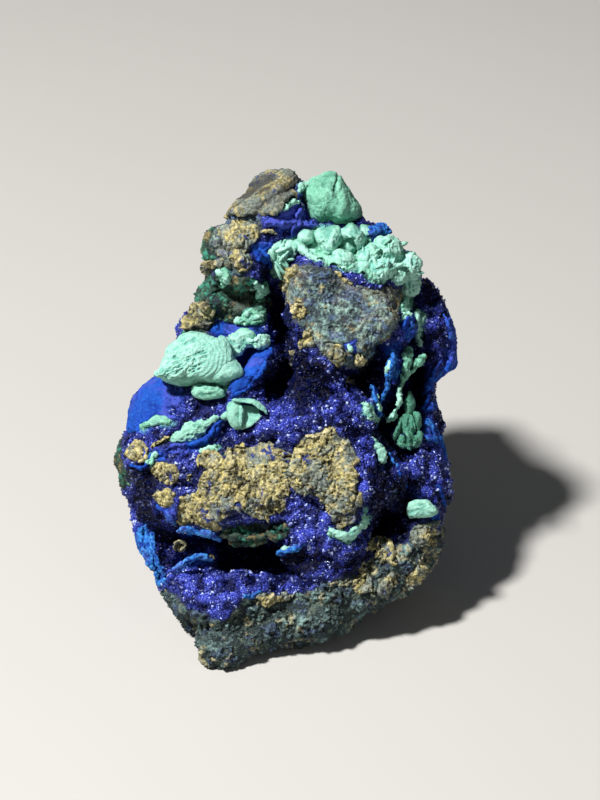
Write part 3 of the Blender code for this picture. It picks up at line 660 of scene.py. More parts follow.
def lump_material():
    """Dark crystal ground, velvet, green rind and grey matrix, each where the mesh says, finely grained."""
    box = Paintbox("azurite_on_matrix", 0.6)
    blotch, fleck = box.speckled(650, 5600, 0.5, 0.08)
    # The crystal ground goes from dark to blue by how brightly it shines, which holds painted shade in the
    # hollows and painted highlights on the knots.
    druse = box.mixed(box.kept("glow"), (0.002, 0.002, 0.01), (0.024, 0.036, 0.36))
    druse = box.mixed(box.times(blotch, 0.5), druse, (0.006, 0.006, 0.04))
    druse = box.mixed(box.times(fleck, box.kept("glow")), druse, (0.15, 0.2, 0.8))
    velvet = box.mixed(fleck, (0.005, 0.03, 0.3), (0.012, 0.08, 0.5))
    velvet = box.mixed(blotch, velvet, (0.003, 0.012, 0.12))
    green = box.mixed(fleck, (0.14, 0.5, 0.38), (0.3, 0.75, 0.62))
    matrix = box.mixed(blotch, (0.03, 0.045, 0.045), (0.09, 0.12, 0.1))
    colour = box.mixed(box.kept("matrix"), druse, matrix)
    colour = box.mixed(box.kept("velvet"), colour, velvet)
    colour = box.mixed(box.kept("rind"), colour, green)
    box.coloured(colour)
    matt = box.reckoned("MAXIMUM", box.kept("velvet"), box.kept("matrix"))
    box.plug(box.reckoned("MULTIPLY_ADD", matt, 0.5, 0.45), box.shader.inputs["Roughness"])
    box.shader.inputs["Specular IOR Level"].default_value = 0.15
    grain = box.texture("Voronoi", 4200).outputs["Distance"]
    fine = box.texture("Noise", 9000, Detail=3).outputs["Fac"]
    box.bumped(box.reckoned("MULTIPLY_ADD", fine, 0.4, grain), 0.0002, 0.9)
    return box.material


lump.data.materials.append(lump_material())
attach(lump, "root")
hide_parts("azurite")


# ---- The velvet crusts ------------------------------------------------------------------------
# Azurite too fine to see as crystals makes a bright, matt crust on the shelf, in the dish, and along the
# edges of the hollows, where it curls into lips. A skin of the lump, divided finer, and tapered lips.

SKIN_EDGE = 0.3
SKIN_FULL = 0.85
SKIN_SINK = 0.28


def lump_skin(name, share, cuts):
    """The lump's faces where share is over SKIN_EDGE, each cut across both ways, as a mesh of their own."""
    corner_share = share[numbers(lump.data.loops, "vertex_index", 1, np.int32)]
    face_share = np.add.reduceat(corner_share, numbers(lump.data.polygons, "loop_start", 1, np.int32))
    bare = face_share < 4 * SKIN_EDGE
    skin = bmesh.new()
    skin.from_mesh(lump.data)
    skin.faces.ensure_lookup_table()
    bmesh.ops.delete(skin, geom=[skin.faces[i] for i in np.flatnonzero(bare)], context="FACES")
    if cuts:
        bmesh.ops.subdivide_edges(skin, edges=skin.edges[:], cuts=cuts, use_grid_fill=True)
    mesh = bpy.data.meshes.new(name)
    skin.to_mesh(mesh)
    skin.free()
    for kept in ("velvet", "rind", "matrix", "glow"):
        mesh.attributes.remove(mesh.attributes[kept])
    return mesh


def surface(mesh):
    """The mesh's points and normals, and the points in millimetres."""
    points = numbers(mesh.vertices, "co", 3).astype(float)
    return points, numbers(mesh.vertex_normals, "vector", 3).astype(float), points / MM


def raise_skin(mesh, share, height):
    """Lifts a skin by height, in millimetres, where its share is full, and sinks its edge by SKIN_SINK."""
    points, normals, _ = surface(mesh)
    lift = smooth_step(SKIN_EDGE, SKIN_FULL, share) * (height + SKIN_SINK) - SKIN_SINK
    points += normals * lift[:, None] * MM
    points[:, 2] = np.maximum(points[:, 2], 0)
    mesh.vertices.foreach_set("co", points.ravel().astype(np.float32))
    mesh.shade_smooth()
    mesh.update()


def shares(mesh):
    """The share of each kind of surface at every vertex of a skin, worked out again at its finer points."""
    return kinds(*surface(mesh))


CREASE_STEEPNESS = 2.6


def creases(spots, grain, seed):
    """Sharp crests where noise crosses zero: 1 less CREASE_STEEPNESS times its size."""
    return 1 - CREASE_STEEPNESS * np.abs(clouds(spots, grain, seed))


eye = camera.location
lump_tree = BVHTree.FromPolygons([vertex.co for vertex in lump.data.vertices],
                                 [polygon.vertices for polygon in lump.data.polygons])


def resting(across, up):
    """The height out of the face at which the line of sight through a spot meets the lump."""
    target = Vector(off_face((across, up, 0)))
    hit = lump_tree.ray_cast(eye, (target - eye).normalized())[0]
    return 0.0 if hit is None else float(on_face(np.array(hit)[None])[0, 2])


SPOTS_PER_SPAN = 24


def smooth_curve(knots, step, closed=True):
    """A curve through the knots, closed or open: Catmull-Rom, spaced evenly by a step."""
    knots = np.asarray(knots, float)
    spans = len(knots) if closed else len(knots) - 1
    if not closed:
        knots = np.vstack([knots, 2 * knots[-1] - knots[-2], 2 * knots[0] - knots[1]])
    t = np.linspace(0, 1, SPOTS_PER_SPAN, endpoint=False)[None, :, None]
    a, b, c, d = (np.roll(knots, shift, 0)[:spans, None, :] for shift in (1, 0, -1, -2))
    bend = 0.5 * (2 * b + (c - a) * t + (2 * a - 5 * b + 4 * c - d) * t**2 + (3 * b - a - 3 * c + d) * t**3)
    path = np.vstack([bend.reshape(-1, knots.shape[1]), knots[:1] if closed else knots[spans:spans + 1]])
    run = np.concatenate([[0], np.cumsum(np.linalg.norm(np.diff(path, axis=0), axis=1))])
    count = max(24 if closed else 6, int(run[-1] / step))
    even = np.linspace(0, run[-1], count, endpoint=not closed)
    return np.stack([np.interp(even, run, path[:, i]) for i in range(path.shape[1])], axis=1)


def lip(path, reach, thick, lift=0.2, step=0.13, seed=0, waver=0.5):
    """A tapered lip along a path, as a grid of rings and its two ends. At s along it, from -1 to 1, and angle
    t round it, the point lies off the path by reach sin(t) out of the face and thick cos(t) to the side, both
    fading as (1 - |s|^3)^(1/2) and wavering."""
    knots = [knot if len(knot) == 3 else (*knot, resting(*knot) + lift) for knot in path]
    curve = smooth_curve(knots, step, closed=False)
    curve[:, :2] += 0.16 * np.stack([clouds(curve, 0.8, 83 + seed), clouds(curve, 0.8, 85 + seed)], axis=1)
    s = np.linspace(-1, 1, len(curve))[1:-1]
    middle = curve[1:-1]
    ahead = np.gradient(curve, axis=0)[1:-1]
    ahead /= np.linalg.norm(ahead, axis=1)[:, None]
    upward = np.array((0, 0.25, 1))
    outward = upward - ahead * (ahead @ upward)[:, None]
    outward /= np.linalg.norm(outward, axis=1)[:, None]
    side = np.cross(ahead, outward)
    fade = np.sqrt(1 - np.abs(s) ** 3) * (0.9 + waver * clouds(middle, 0.55, 81 + seed))
    count = max(8, int(3.5 * (reach + thick) / step))
    t = np.linspace(0, 2 * np.pi, count, endpoint=False)
    grid = (middle[:, None] + (outward * (reach * fade)[:, None])[:, None] * np.sin(t)[None, :, None]
            + (side * (thick * fade)[:, None])[:, None] * np.cos(t)[None, :, None])
    return grid, curve[[0, -1]]


def ring_faces(rings, around):
    """Quads between the rings and a fan at each pole, turned outwards, with the poles numbered last."""
    i, j = np.arange(rings - 1)[:, None], np.arange(around)[None]
    k = (j + 1) % around
    quads = np.stack([i * around + j, (i + 1) * around + j, (i + 1) * around + k, i * around + k], axis=2)
    j, k = np.arange(around), (np.arange(around) + 1) % around
    last = (rings - 1) * around
    top = np.stack([j, k, np.full(around, rings * around)], axis=1)
    bottom = np.stack([last + k, last + j, np.full(around, rings * around + 1)], axis=1)
    return quads.reshape(-1, 4), np.concatenate([top, bottom])


def grown(name, pieces):
    """One mesh of closed ring grids, each placed as seen, with its relief in millimetres along the normal.
    The relief is kept as crest for the colour."""
    far = VIEW_DISTANCE / MM
    places, faces, crest, start = [], [], [], 0
    for (grid, poles), relief in pieces:
        rings, around = grid.shape[:2]
        along_ring = np.roll(grid, -1, 1) - np.roll(grid, 1, 1)
        along_rib = np.gradient(grid, axis=0)
        normal = np.cross(along_rib, along_ring).reshape(-1, 3)
        normal /= np.linalg.norm(normal, axis=1)[:, None] + 1e-9
        flat = grid.reshape(-1, 3)
        height = relief(flat)
        moved = (flat + normal * height[:, None]).reshape(grid.shape)
        shift = np.stack([(moved - grid)[ring].mean(axis=0) for ring in (0, -1)])
        spots = np.vstack([moved.reshape(-1, 3), poles + shift])
        spots[:, :2] *= (far - spots[:, 2:]) / far
        quads, fans = ring_faces(rings, around)
        faces += (quads + start).tolist() + (fans + start).tolist()
        places.append(spots)
        crest.append(np.concatenate([height, relief(poles)]))
        start += len(spots)
    mesh = bpy.data.meshes.new(name)
    points = off_face(np.vstack(places))
    points[:, 2] = np.maximum(points[:, 2], 0)
    mesh.from_pydata(points.tolist(), [], faces)
    mesh.shade_smooth()
    mesh.update()
    note(mesh, "crest", np.concatenate(crest))
    return mesh


def velvet_relief(spots):
    """Curled crests of a millimetre and of a third of that."""
    return 0.09 * creases(spots, 1.0, 71) + 0.09 * creases(spots, 0.38, 73)


VELVET_LIPS = [  # path across and up, and out where it stands free, then its reach and its thickness
    ([(-14.2, -15.2, 3.4), (-13, -14.95, 4.8), (-11.8, -15.3, 5.2), (-10.6, -15.6, 4.8),
      (-9.2, -16.2, 3.2)], 0.65, 0.29),
    ([(-15.2, -20.1, 0), (-14, -19.4, 1.7), (-12.8, -18.7, 2.4), (-11.6, -18.1, 2.6),
      (-10.2, -18.5, 1.8)], 0.58, 0.3),
    ([(-13.4, -19, 2), (-12.5, -19.1, 1.6), (-11.4, -18.9, 1.5), (-10.4, -18.9, 1)], 0.43, 0.22),
    ([(-2.6, -17.9, 4), (-1.9, -17.7, 4.8), (-0.9, -17.4, 5.2), (0, -16.9, 5.4),
      (0.6, -16.2, 5.2)], 0.6, 0.3),
    ([(-8, 0.3), (-6.4, 1.1), (-5, 2.5), (-4.2, 3.8), (-3.6, 5.3), (-3.2, 6.8)], 0.36, 0.22),
    ([(-16.4, -6.3), (-15, -5.5), (-13.4, -5.2), (-11.8, -5), (-10.6, -4.2), (-9.6, -2.9),
      (-8.8, -2.3)], 0.43, 0.26),
    ([(-18.3, -14.6), (-18.5, -16), (-18, -17.6), (-17.3, -19.2), (-16.4, -20.8)], 0.5, 0.36),
    ([(-17.2, -15.2), (-17.1, -16.8), (-16.6, -18.6), (-15.6, -20.4)], 0.36, 0.29),
    ([(-16.6, -12.2), (-15.8, -12.9), (-15, -13.8), (-14.4, -14.4)], 0.36, 0.29),
    ([(7.4, 18.6), (8.3, 19.5), (9.6, 19.9), (10.8, 19.4)], 0.8, 0.6),
    ([(10.4, -6.2), (11, -7.3), (11.7, -8.8), (12.4, -10.2)], 0.26, 0.1),
    ([(14.2, 0.6), (15, 1.8), (15.8, 2.8)], 0.4, 0.3),
    ([(-4.2, 20.5), (-2.6, 20.4), (-0.8, 20.6), (0.6, 20.4), (1.8, 20.1)], 0.43, 0.16),
    ([(-1, 18.8), (-0.9, 19.8), (-0.5, 21), (0.2, 22.4)], 0.36, 0.14),
    ([(-4.9, 16.2), (-4.2, 17.2), (-3.4, 17.9), (-3.2, 18.6)], 0.36, 0.22),
    ([(-4.8, 17.6), (-3.8, 16.6), (-3.4, 15.4)], 0.36, 0.22),
    ([(11.9, 8), (12.4, 9.2), (13.2, 9.6)], 0.36, 0.22),
    ([(12.4, 6.8), (12.9, 7.8), (13.2, 9)], 0.36, 0.22),
    ([(10.2, 2, 2.4), (10.5, 3.2, 3), (10.7, 4.4, 3.6), (10.9, 5.6, 3.8)], 1, 0.24),
    ([(9.1, -0.4, 1.9), (9.8, 0.6, 1.6), (10.1, 1.8, 2.2), (10.2, 3.4, 3), (10.5, 4.8, 3.4)], 0.8, 0.2),
    ([(8.5, 1.4, 1.2), (8.7, 0.6, 1.8), (9, -0.8, 2), (9.3, -1.9, 2)], 1.3, 0.3),
    ([(14.3, -1.2), (14.8, 0), (15.2, 1.2), (15.2, 2.4), (15.8, 3.8), (16.6, 4.8)], 0.36, 0.22),
    ([(14.2, -3), (14.9, -3.8), (15.6, -4.8)], 0.36, 0.29),
    ([(16.6, 10), (17.3, 8.6), (17.7, 6.6), (17.5, 4.6), (17, 3.2)], 0.36, 0.22),
    ([(15.8, -9.8), (16.4, -11), (16.8, -12.4)], 0.29, 0.22),
    ([(15.4, -13), (15.9, -13.5), (16, -14.4)], 0.29, 0.22),
    ([(-19.8, -7.6), (-18.6, -7.9), (-17.6, -7.4), (-17.4, -6.2)], 0.29, 0.18),
    ([(-6.6, -22.9), (-5.2, -22.6), (-4.4, -22.2)], 0.29, 0.22),
]


def velvet_material():
    """Deep blue in the creases and bright on the crests, as painted shade and painted highlight, violet where
    the mesh says, and a painted pale cyan highlight on the crests where it says.
    """
    box = Paintbox("velvet_blue", 0.95)
    blotch, fleck = box.speckled(520, 3400, 0.46, 0.14)
    # Painted shade in the creases and painted highlight on the crests.
    high = box.spread(box.kept("crest"), -0.06, 0.16)
    colour = box.mixed(high, (0.003, 0.016, 0.18), (0.012, 0.095, 0.55))
    colour = box.mixed(box.times(blotch, 0.35), colour, (0.01, 0.025, 0.36))
    violet = box.times(box.kept("violet"), box.reckoned("MULTIPLY_ADD", high, 0.7, 0.3))
    colour = box.mixed(violet, colour, (0.085, 0.088, 0.5))
    colour = box.mixed(box.times(fleck, 0.2), colour, (0.04, 0.22, 0.72))
    # Painted highlight: pale cyan on the crests, where the mesh says.
    edge = box.times(box.times(box.kept("cyan"), high), box.reckoned("MULTIPLY_ADD", fleck, 0.5, 0.2))
    box.coloured(box.mixed(edge, colour, (0.1, 0.5, 0.85)))
    box.shader.inputs["Specular IOR Level"].default_value = 0.2
    box.bumped(box.texture("Noise", 3000, Detail=6, Roughness=0.7).outputs["Fac"], 0.0003, 0.8)
    return box.material


velvet_blue = velvet_material()
mesh = lump_skin("velvet_skin", velvet * (facing > -0.15), 2)
points, _, place = surface(mesh)
skin_across, skin_up, _ = as_seen(points)
worn = smooth_step(-14.5, -16, skin_across) * smooth_step(-4, -2, skin_up)
dish = smooth_step(-8.6, -7.6, skin_across) * smooth_step(-2.8, -3.6, skin_across)
dish *= smooth_step(0, 1, skin_up)
relief = velvet_relief(place) * (1 - 0.75 * worn) * (1 - 0.5 * dish) + 0.06 * clouds(place, 1.4, 75)
raise_skin(mesh, shares(mesh)["velvet"], 0.1 + relief)
# Crest sets the colour: a little lighter where the shelf is worn, and painted light in the dish, which lies
# in shadow.
note(mesh, "crest", relief + 0.05 * worn + 0.06 * dish)
# Painted highlight: pale cyan low on the face and in the gap on the right.
right = smooth_step(8, 9, skin_across) * smooth_step(-0.2, 0.5, clouds(place, 1.1, 79))
note(mesh, "cyan", np.maximum(smooth_step(-13.4, -15, skin_up), right))
velvet_skin = new_object("velvet_skin", mesh)

mesh = grown("velvet_lips", [(lip(path, reach, thick, seed=i), velvet_relief)
                             for i, (path, reach, thick) in enumerate(VELVET_LIPS)])
lips_across, lips_up, _ = as_seen(surface(mesh)[0])
# Painted highlight: pale cyan on the lips low on the face and in the gap on the right.
in_gap = 0.8 * (lips_across > 8) * (lips_across < 11.4)
note(mesh, "cyan", np.maximum(smooth_step(-12, -15, lips_up), in_gap))
velvet_lips = new_object("velvet_lips", mesh)

for crust in (velvet_skin, velvet_lips):
    crust_points, _, crust_place = surface(crust.data)
    crust_across, crust_up, _ = as_seen(crust_points)
    crown_folds = smooth_step(17.6, 19, crust_up) * smooth_step(3, 2, crust_across)
    shelf_edge = smooth_step(-16.4, -14.8, crust_across) * smooth_step(-13, -13.6, crust_across)
    patchy = 0.7 * smooth_step(0.1, 0.6, clouds(crust_place, 2.6, 91))
    note(crust.data, "violet", np.clip(crown_folds + shelf_edge + patchy, 0, 1))
    crust.data.materials.append(velvet_blue)
    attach(crust, "root")


# ---- The ochre crust --------------------------------------------------------------------------
# Limonite, the rusty matrix that the azurite grew in, stands on the blue in broken crusts half a millimetre
# high. Each is a skin of the lump, divided finer, whose edge dips under it. Small rings and curls stand free.

def chips(place, grain, seed):
    """Broken flats: each scattered cell has its own height and slope. Also the gap to the next cell, and a
    number of its own."""
    _, gap, offset, home = cells(place, grain, seed)
    number = chance(home, seed + 3)
    slope = np.stack([chance(home, seed + 4 + axis) for axis in range(3)], axis=1) - 0.5
    return 0.6 * (number - 0.5) + 2.3 * (offset * slope).sum(axis=1), gap, number


def broken(place, seed):
    """Worn flats of two sizes with shallow cracks, over creased and sandy noise. Also the cracks, and a
    number for each flat."""
    bent = place + 0.35 * clouds(place, 0.9, seed)[:, None]
    large, large_gap, tone = chips(bent, 2.1, seed)
    middle, middle_gap, _ = chips(bent, 0.85, seed + 10)
    fine, _, _ = chips(place, 0.34, seed + 20)
    crack = smooth_step(0.1, 0, large_gap) * smooth_step(-0.3, 0.3, clouds(place, 2, seed + 3))
    crack = crack + 0.5 * smooth_step(0.14, 0, middle_gap)
    rise = (0.22 * large + 0.2 * middle + 0.19 * fine - 0.12 * crack + 0.18 * clouds(place, 1.6, seed + 5)
            + 0.03 * creases(place, 0.5, seed + 7) + 0.04 * creases(place, 0.28, seed + 9))
    return rise, np.clip(crack, 0, 1), tone


def ochre_material(name):
    """Olive and ochre blotches with a painted buff highlight on the high flats, dark grit, slate and blue
    stains, and dark in the cracks, with painted shade in the low places.
    """
    box = Paintbox(name, 0.85)
    blotch, fleck = box.speckled(1200, 3000, 0.47, 0.08)
    _, grit = box.speckled(1400, 2100, 0.52, 0.06)
    colour = box.mixed(blotch, (0.27, 0.235, 0.08), (0.64, 0.55, 0.19))
    # Painted highlight on the high flats.
    colour = box.mixed(box.times(box.kept("high"), 0.75), colour, (0.92, 0.82, 0.47))
    colour = box.mixed(box.times(fleck, 0.5), colour, (0.82, 0.73, 0.42))
    colour = box.mixed(box.times(grit, 0.6), colour, (0.1, 0.12, 0.11))
    slate = box.mixed(fleck, (0.1, 0.15, 0.16), (0.27, 0.34, 0.33))
    colour = box.mixed(box.times(box.kept("stain"), 0.8), colour, slate)
    colour = box.mixed(box.times(box.kept("blue"), blotch), colour, (0.025, 0.05, 0.26))
    # Painted shade in the low places, with the dark of the cracks.
    box.coloured(box.mixed(box.times(box.kept("hollow"), 0.85), colour, (0.03, 0.028, 0.03)))
    box.bumped(box.texture("Noise", 3000, Detail=6, Roughness=0.72).outputs["Fac"], 0.00034)
    return box.material


def on_side(share, side):
    """A share of the lump's surface on its front or its back alone. The two meet with a little overlap."""
    return share * (facing > 0.02 if side == "front" else facing < 0.12)


for side in ("front", "back"):
    mesh = lump_skin("ochre_" + side, on_side(ochre, side), 3 if side == "front" else 0)
    points, _, place = surface(mesh)
    skin_across, skin_up, _ = as_seen(points)
    rise, crack, tone = broken(place, 101)
    # The slab on the crown is striped by layers that run up to the right, and it is split along them.
    slab = smooth_step(20.2, 21.4, skin_up)
    laid = np.stack([0.12 * (skin_across + 0.8 * skin_up), 0.6 * skin_across - skin_up, 0 * skin_up], axis=1)
    stripe = creases(laid, 0.85, 121) + 0.5 * creases(laid, 0.36, 123)
    rise = rise * (1 - 0.75 * slab) + slab * 0.15 * stripe
    raise_skin(mesh, shares(mesh)["ochre"], 0.5 + 1.15 * rise)
    slab_hollow = slab * (0.2 + 0.8 * smooth_step(0.5, -0.6, stripe))
    split = along(skin_across, skin_up, SLAB_SPLIT, 0.45)
    # The crust on the left arm is greyer, with dark nubs on its upper part.
    left_arm = smooth_step(-9, -12, skin_across)
    nubs = smooth_step(-9, -10, skin_across) * smooth_step(7, 8, skin_up)
    nub_hollow = nubs * (0.25 + 0.8 * smooth_step(-0.1, 0.4, clouds(place, 1.1, 119)))
    # Dark in the cracks, the split and the nubs, with painted shade in the low places and in the grooves of
    # the slab, and a painted highlight on the high flats.
    hollow = 0.4 * crack + smooth_step(-0.1, -0.34, rise) + 0.9 * split + slab_hollow + nub_hollow
    high = smooth_step(-0.04, 0.32, rise) * (0.6 + 0.4 * tone) * (1 - 0.8 * slab) * (1 - 0.75 * left_arm)
    stain = clouds(place, 1.4, 111) + 0.6 * clouds(place, 0.45, 113) + 0.3 * smooth_step(1, 4, skin_across)
    stain = stain + 0.15 * smooth_step(14, 15, skin_up) + 0.55 * slab - 0.25 * left_arm
    note(mesh, "hollow", np.clip(hollow, 0, 1))
    note(mesh, "high", high)
    note(mesh, "stain", smooth_step(0, 0.65, stain))
    note(mesh, "blue", smooth_step(0.45, 0.65, clouds(place, 1.5, 115) + 0.4 * clouds(place, 0.4, 117)))
    crust = new_object("ochre_crust_" + side, mesh)
    mesh.materials.append(ochre_material("ochre_" + side))
    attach(crust, "root")


OCHRE_LIPS = [  # path across and up, and out where it stands free, then its reach and its thickness
    ([(-11.6, -7.9), (-12, -7), (-11.3, -6.3), (-10.2, -6.1), (-9.2, -6.7), (-9.3, -7.5),
      (-10.2, -8.1)], 0.5, 0.26),
    ([(-11.2, -7.4), (-10.6, -7), (-9.8, -7.3)], 0.3, 0.2),
    ([(-20.2, -6.6), (-19.8, -5.5), (-18.8, -4.9), (-17.9, -5.6), (-17.9, -6.7), (-18.8, -7.2)], 0.4, 0.26),
    ([(-19.4, -6.2), (-18.9, -5.7), (-18.4, -6.2)], 0.3, 0.2),
    ([(-14.6, -17.6, -1.1), (-14.5, -16.7, -0.2), (-13.9, -16.4, 0.2), (-13.4, -16.8, 0),
      (-13.8, -17.6, -1.1)], 0.5, 0.32),
    ([(-2.9, -15.8, 3.6), (-2.6, -15.4, 4), (-2.2, -15.6, 3.8)], 0.4, 0.3),
    ([(7.8, -17.4), (8.3, -16.5), (9.4, -16.2), (10.4, -16.8), (10.8, -17.8), (10.5, -18.8),
      (11.3, -18.9)], 0.6, 0.34),
    ([(8.8, -17.8), (9.6, -17.3), (9.8, -18.2), (9.2, -19)], 0.4, 0.3),
    ([(-16.8, -8.8), (-16.2, -7.6), (-15.2, -7.5)], 0.4, 0.25),
    ([(-15.6, -9.6), (-14.8, -8.4), (-14.2, -8.8)], 0.4, 0.3),
    ([(-4.6, 19.4), (-3.6, 19.6), (-2.8, 19.2)], 0.4, 0.25),
    ([(3.9, 15), (4.6, 14.6), (5.4, 13.7), (6.2, 13.4)], 0.4, 0.25),
    ([(-10.6, -18.2, 1.6), (-10.2, -18, 2.2), (-9.9, -18.4, 1.8)], 0.3, 0.2),
]


def ochre_relief(spots):
    """The crust's own relief at half its height."""
    return 0.45 * broken(spots, 101)[0]


mesh = grown("ochre_lips", [(lip(path, reach, thick, seed=40 + i), ochre_relief)
                            for i, (path, reach, thick) in enumerate(OCHRE_LIPS)])
crest = numbers(mesh.attributes["crest"].data, "value", 1)
# Painted highlight on the crests of the curls, and painted shade in their creases.
note(mesh, "high", 0.7 * smooth_step(0, 0.2, crest))
note(mesh, "hollow", 0.7 * smooth_step(0, -0.2, crest))
note(mesh, "stain", 0.5 * smooth_step(0, -0.1, crest))
note(mesh, "blue", 0 * crest)
mesh.materials.append(ochre_material("ochre_curls"))
ochre_lips = new_object("ochre_curls", mesh)
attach(ochre_lips, "root")


# ---- The bare rock ----------------------------------------------------------------------------
# Where the matrix itself shows, it is a fine gritty slate-green rock: a worn shield under the crown, the
# broken rim along the foot, and mossy copper-stained hollows. All are dusted with blue and with rust.

ROCKS = {  # rise and flats shape it, dusty is where its dust begins, and the rest is its colour
    "shield": dict(cuts=3, rise=0.75, flats=0.3, dusty=-0.1, blotches=0.55, dusted=0.55, grit=0.45,
                   dull=(0.05, 0.09, 0.1), pale=(0.41, 0.63, 0.56), dust=(0.07, 0.13, 0.42),
                   rust=(0.52, 0.4, 0.15), deep=(0.012, 0.016, 0.03)),
    "rim": dict(cuts=2, rise=1.5, flats=0.9, dusty=0.2, blotches=0.35, dusted=0.55, grit=0.6,
                dull=(0.035, 0.062, 0.062), pale=(0.29, 0.47, 0.44), dust=(0.025, 0.04, 0.2),
                rust=(0.6, 0.52, 0.28), deep=(0.006, 0.009, 0.012)),
    "moss": dict(cuts=2, rise=1.3, flats=0.8, dusty=-0.05, blotches=0.35, dusted=0.8, grit=0.6,
                 dull=(0.015, 0.05, 0.04), pale=(0.1, 0.19, 0.11), dust=(0.05, 0.42, 0.29),
                 rust=(0.36, 0.26, 0.1), deep=(0.004, 0.009, 0.01)),
}


def rock_material(name, look):
    """Dull to pale stone in blotches, with dust, rust, pale flecks and dark grit, dark in the pits and
    cracks, and with painted shade in the low places.
    """
    box = Paintbox(name, 0.85)
    blotch, fleck = box.speckled(1900, 3600, 0.46, 0.12)
    _, grit = box.speckled(1400, 2500, 0.52, 0.08)
    colour = box.mixed(box.kept("pale"), look["dull"], look["pale"])
    colour = box.mixed(box.times(blotch, look["blotches"]), colour, look["dull"])
    colour = box.mixed(box.times(box.kept("dust"), look["dusted"]), colour, look["dust"])
    colour = box.mixed(box.times(box.kept("rust"), 0.8), colour, look["rust"])
    colour = box.mixed(box.times(fleck, 0.3), colour, look["pale"])
    colour = box.mixed(box.times(grit, look["grit"]), colour, look["deep"])
    box.coloured(box.mixed(box.times(box.kept("hollow"), 0.85), colour, look["deep"]))
    box.bumped(box.texture("Noise", 3000, Detail=6, Roughness=0.72).outputs["Fac"], 0.0003)
    return box.material


def rust_on(kind, place, across, up):
    """Rust in spots, thicker low on the right of the rim and at both sides of the shield, which it tinges."""
    spots, tinge = clouds(place, 1.2, 221) + 0.5 * clouds(place, 0.4, 223), 0
    if kind == "rim":
        spots = spots - 0.12 + 0.47 * smooth_step(4, 9, across) * smooth_step(-23, -20, up)
    if kind == "shield":
        spots = spots - 0.25 + 0.6 * smooth_step(7.5, 10, across) * smooth_step(13, 11, up)
        spots = spots + 0.5 * smooth_step(2, 0, across) * smooth_step(13, 10, up)
        tinge = 0.35 * smooth_step(-0.3, 0.5, clouds(place, 2.1, 225) + 0.4 * clouds(place, 0.5, 227))
    return np.clip(smooth_step(0.3, 0.6, spots) + tinge, 0, 1)


def shade_on(kind, place, across, up):
    """How much paler than usual the stone is, in clouds. The rim is darker all over, and the other rock is
    darker round the edges of the shield."""
    shade = 0.6 * clouds(place, 2.4, 243)
    if kind == "rim":
        return shade - 0.35
    shade = shade - 0.5 * smooth_step(1.5, -1, across) * smooth_step(14, 12, up)
    shade = shade - 0.6 * smooth_step(8.6, 10.4, across) - 0.3 * smooth_step(12.4, 14, up)
    return shade - 0.8 * smooth_step(6.8, 5.4, up)


def bare_rock(kind, side):
    """One kind of rock on one side of the lump: flats of two sizes with cracks, pits, fibres and sand. Gives
    its material."""
    look = ROCKS[kind]
    cuts = look["cuts"] if side == "front" else 0
    mesh = lump_skin(kind + "_" + side, on_side(shares_here[kind], side), cuts)
    points, _, place = surface(mesh)
    across, up, _ = as_seen(points)
    bent = place + 0.35 * clouds(place, 0.9, 203)[:, None]
    slab, slab_gap, _ = chips(bent, 1.6, 205)
    grit, grit_gap, _ = chips(bent, 0.6, 207)
    sand, _, _ = chips(place, 0.28, 209)
    fibre = 0.6 * creases(place, 0.7, 213) + 0.5 * creases(place, 0.32, 215)
    crack = smooth_step(0.1, 0, slab_gap) + 0.5 * smooth_step(0.16, 0, grit_gap)
    pit_near, _, _, pit_home = cells(place, 0.8, 219)
    pit = smooth_step(0.42, 0.2, pit_near) * (chance(pit_home, 222) > 0.5)
    rise, flats = look["rise"], look["flats"]
    height = rise * (flats * (0.22 * slab + 0.16 * grit - 0.12 * crack) + 0.1 * sand
                     + 0.16 * clouds(place, 1.4, 211) + (0.14 - 0.05 * flats) * fibre - 0.16 * flats * pit)
    raise_skin(mesh, shares(mesh)[kind], 0.16 + height)
    # Dark in the pits and cracks, with painted shade in the low places and, below, between the fibres.
    hollow = 0.8 * flats * pit + 0.6 * crack * flats + smooth_step(0.06, -0.16 * rise, height)
    veins = np.stack([0.4 * (across - 0.3 * up), up + 0.3 * across, place[:, 1]], axis=1)
    dust = clouds(veins, 0.9, 231) + 0.4 * clouds(place, 0.35, 233)
    patch = 0.5 * np.exp(-(np.hypot(across - 5, up - 9.8) / 2) ** 2)
    pale = clouds(place, 1.2, 241) + 0.4 * clouds(place, 0.5, 245) + 0.3 * sand + 0.25 * fibre + patch
    note(mesh, "hollow", np.clip(hollow + 0.3 * smooth_step(0.1, -0.8, fibre), 0, 1))
    note(mesh, "rust", rust_on(kind, place, across, up))
    note(mesh, "dust", smooth_step(look["dusty"], 0.5, dust))
    note(mesh, "pale", smooth_step(-0.3, 0.9, pale + shade_on(kind, place, across, up)))
    rock = new_object(f"{kind}_rock_{side}", mesh)
    material = rock_material(rock.name, look)
    mesh.materials.append(material)
    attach(rock, "root")
    return material


for kind in ("shield", "rim"):
    for side in ("front", "back"):
        bare_rock(kind, side)
moss_material = bare_rock("moss", "front")

# Mossy crumbs hang from the roof of the cave in three rows.
CRUMB_ROWS = [
    [(-9.4, -15.6, 4), (-8, -15.9, 4.6), (-6, -16, 4.6), (-4.4, -15.7, 4.8), (-3.6, -15.5, 4.6)],
    [(-8.4, -16.3, 3.4), (-6.8, -16.6, 3.6), (-5, -16.5, 3.8), (-3.8, -16.2, 3.6)],
    [(-4, -15.4, 4.8), (-2.6, -15.9, 5), (-1.6, -15.4, 5)],
]
mesh = grown("cave_roof", [(lip(row, 0.6, 0.5, seed=60 + i), ochre_relief)
                           for i, row in enumerate(CRUMB_ROWS)])
crumb_place = surface(mesh)[2]
crest = numbers(mesh.attributes["crest"].data, "value", 1)
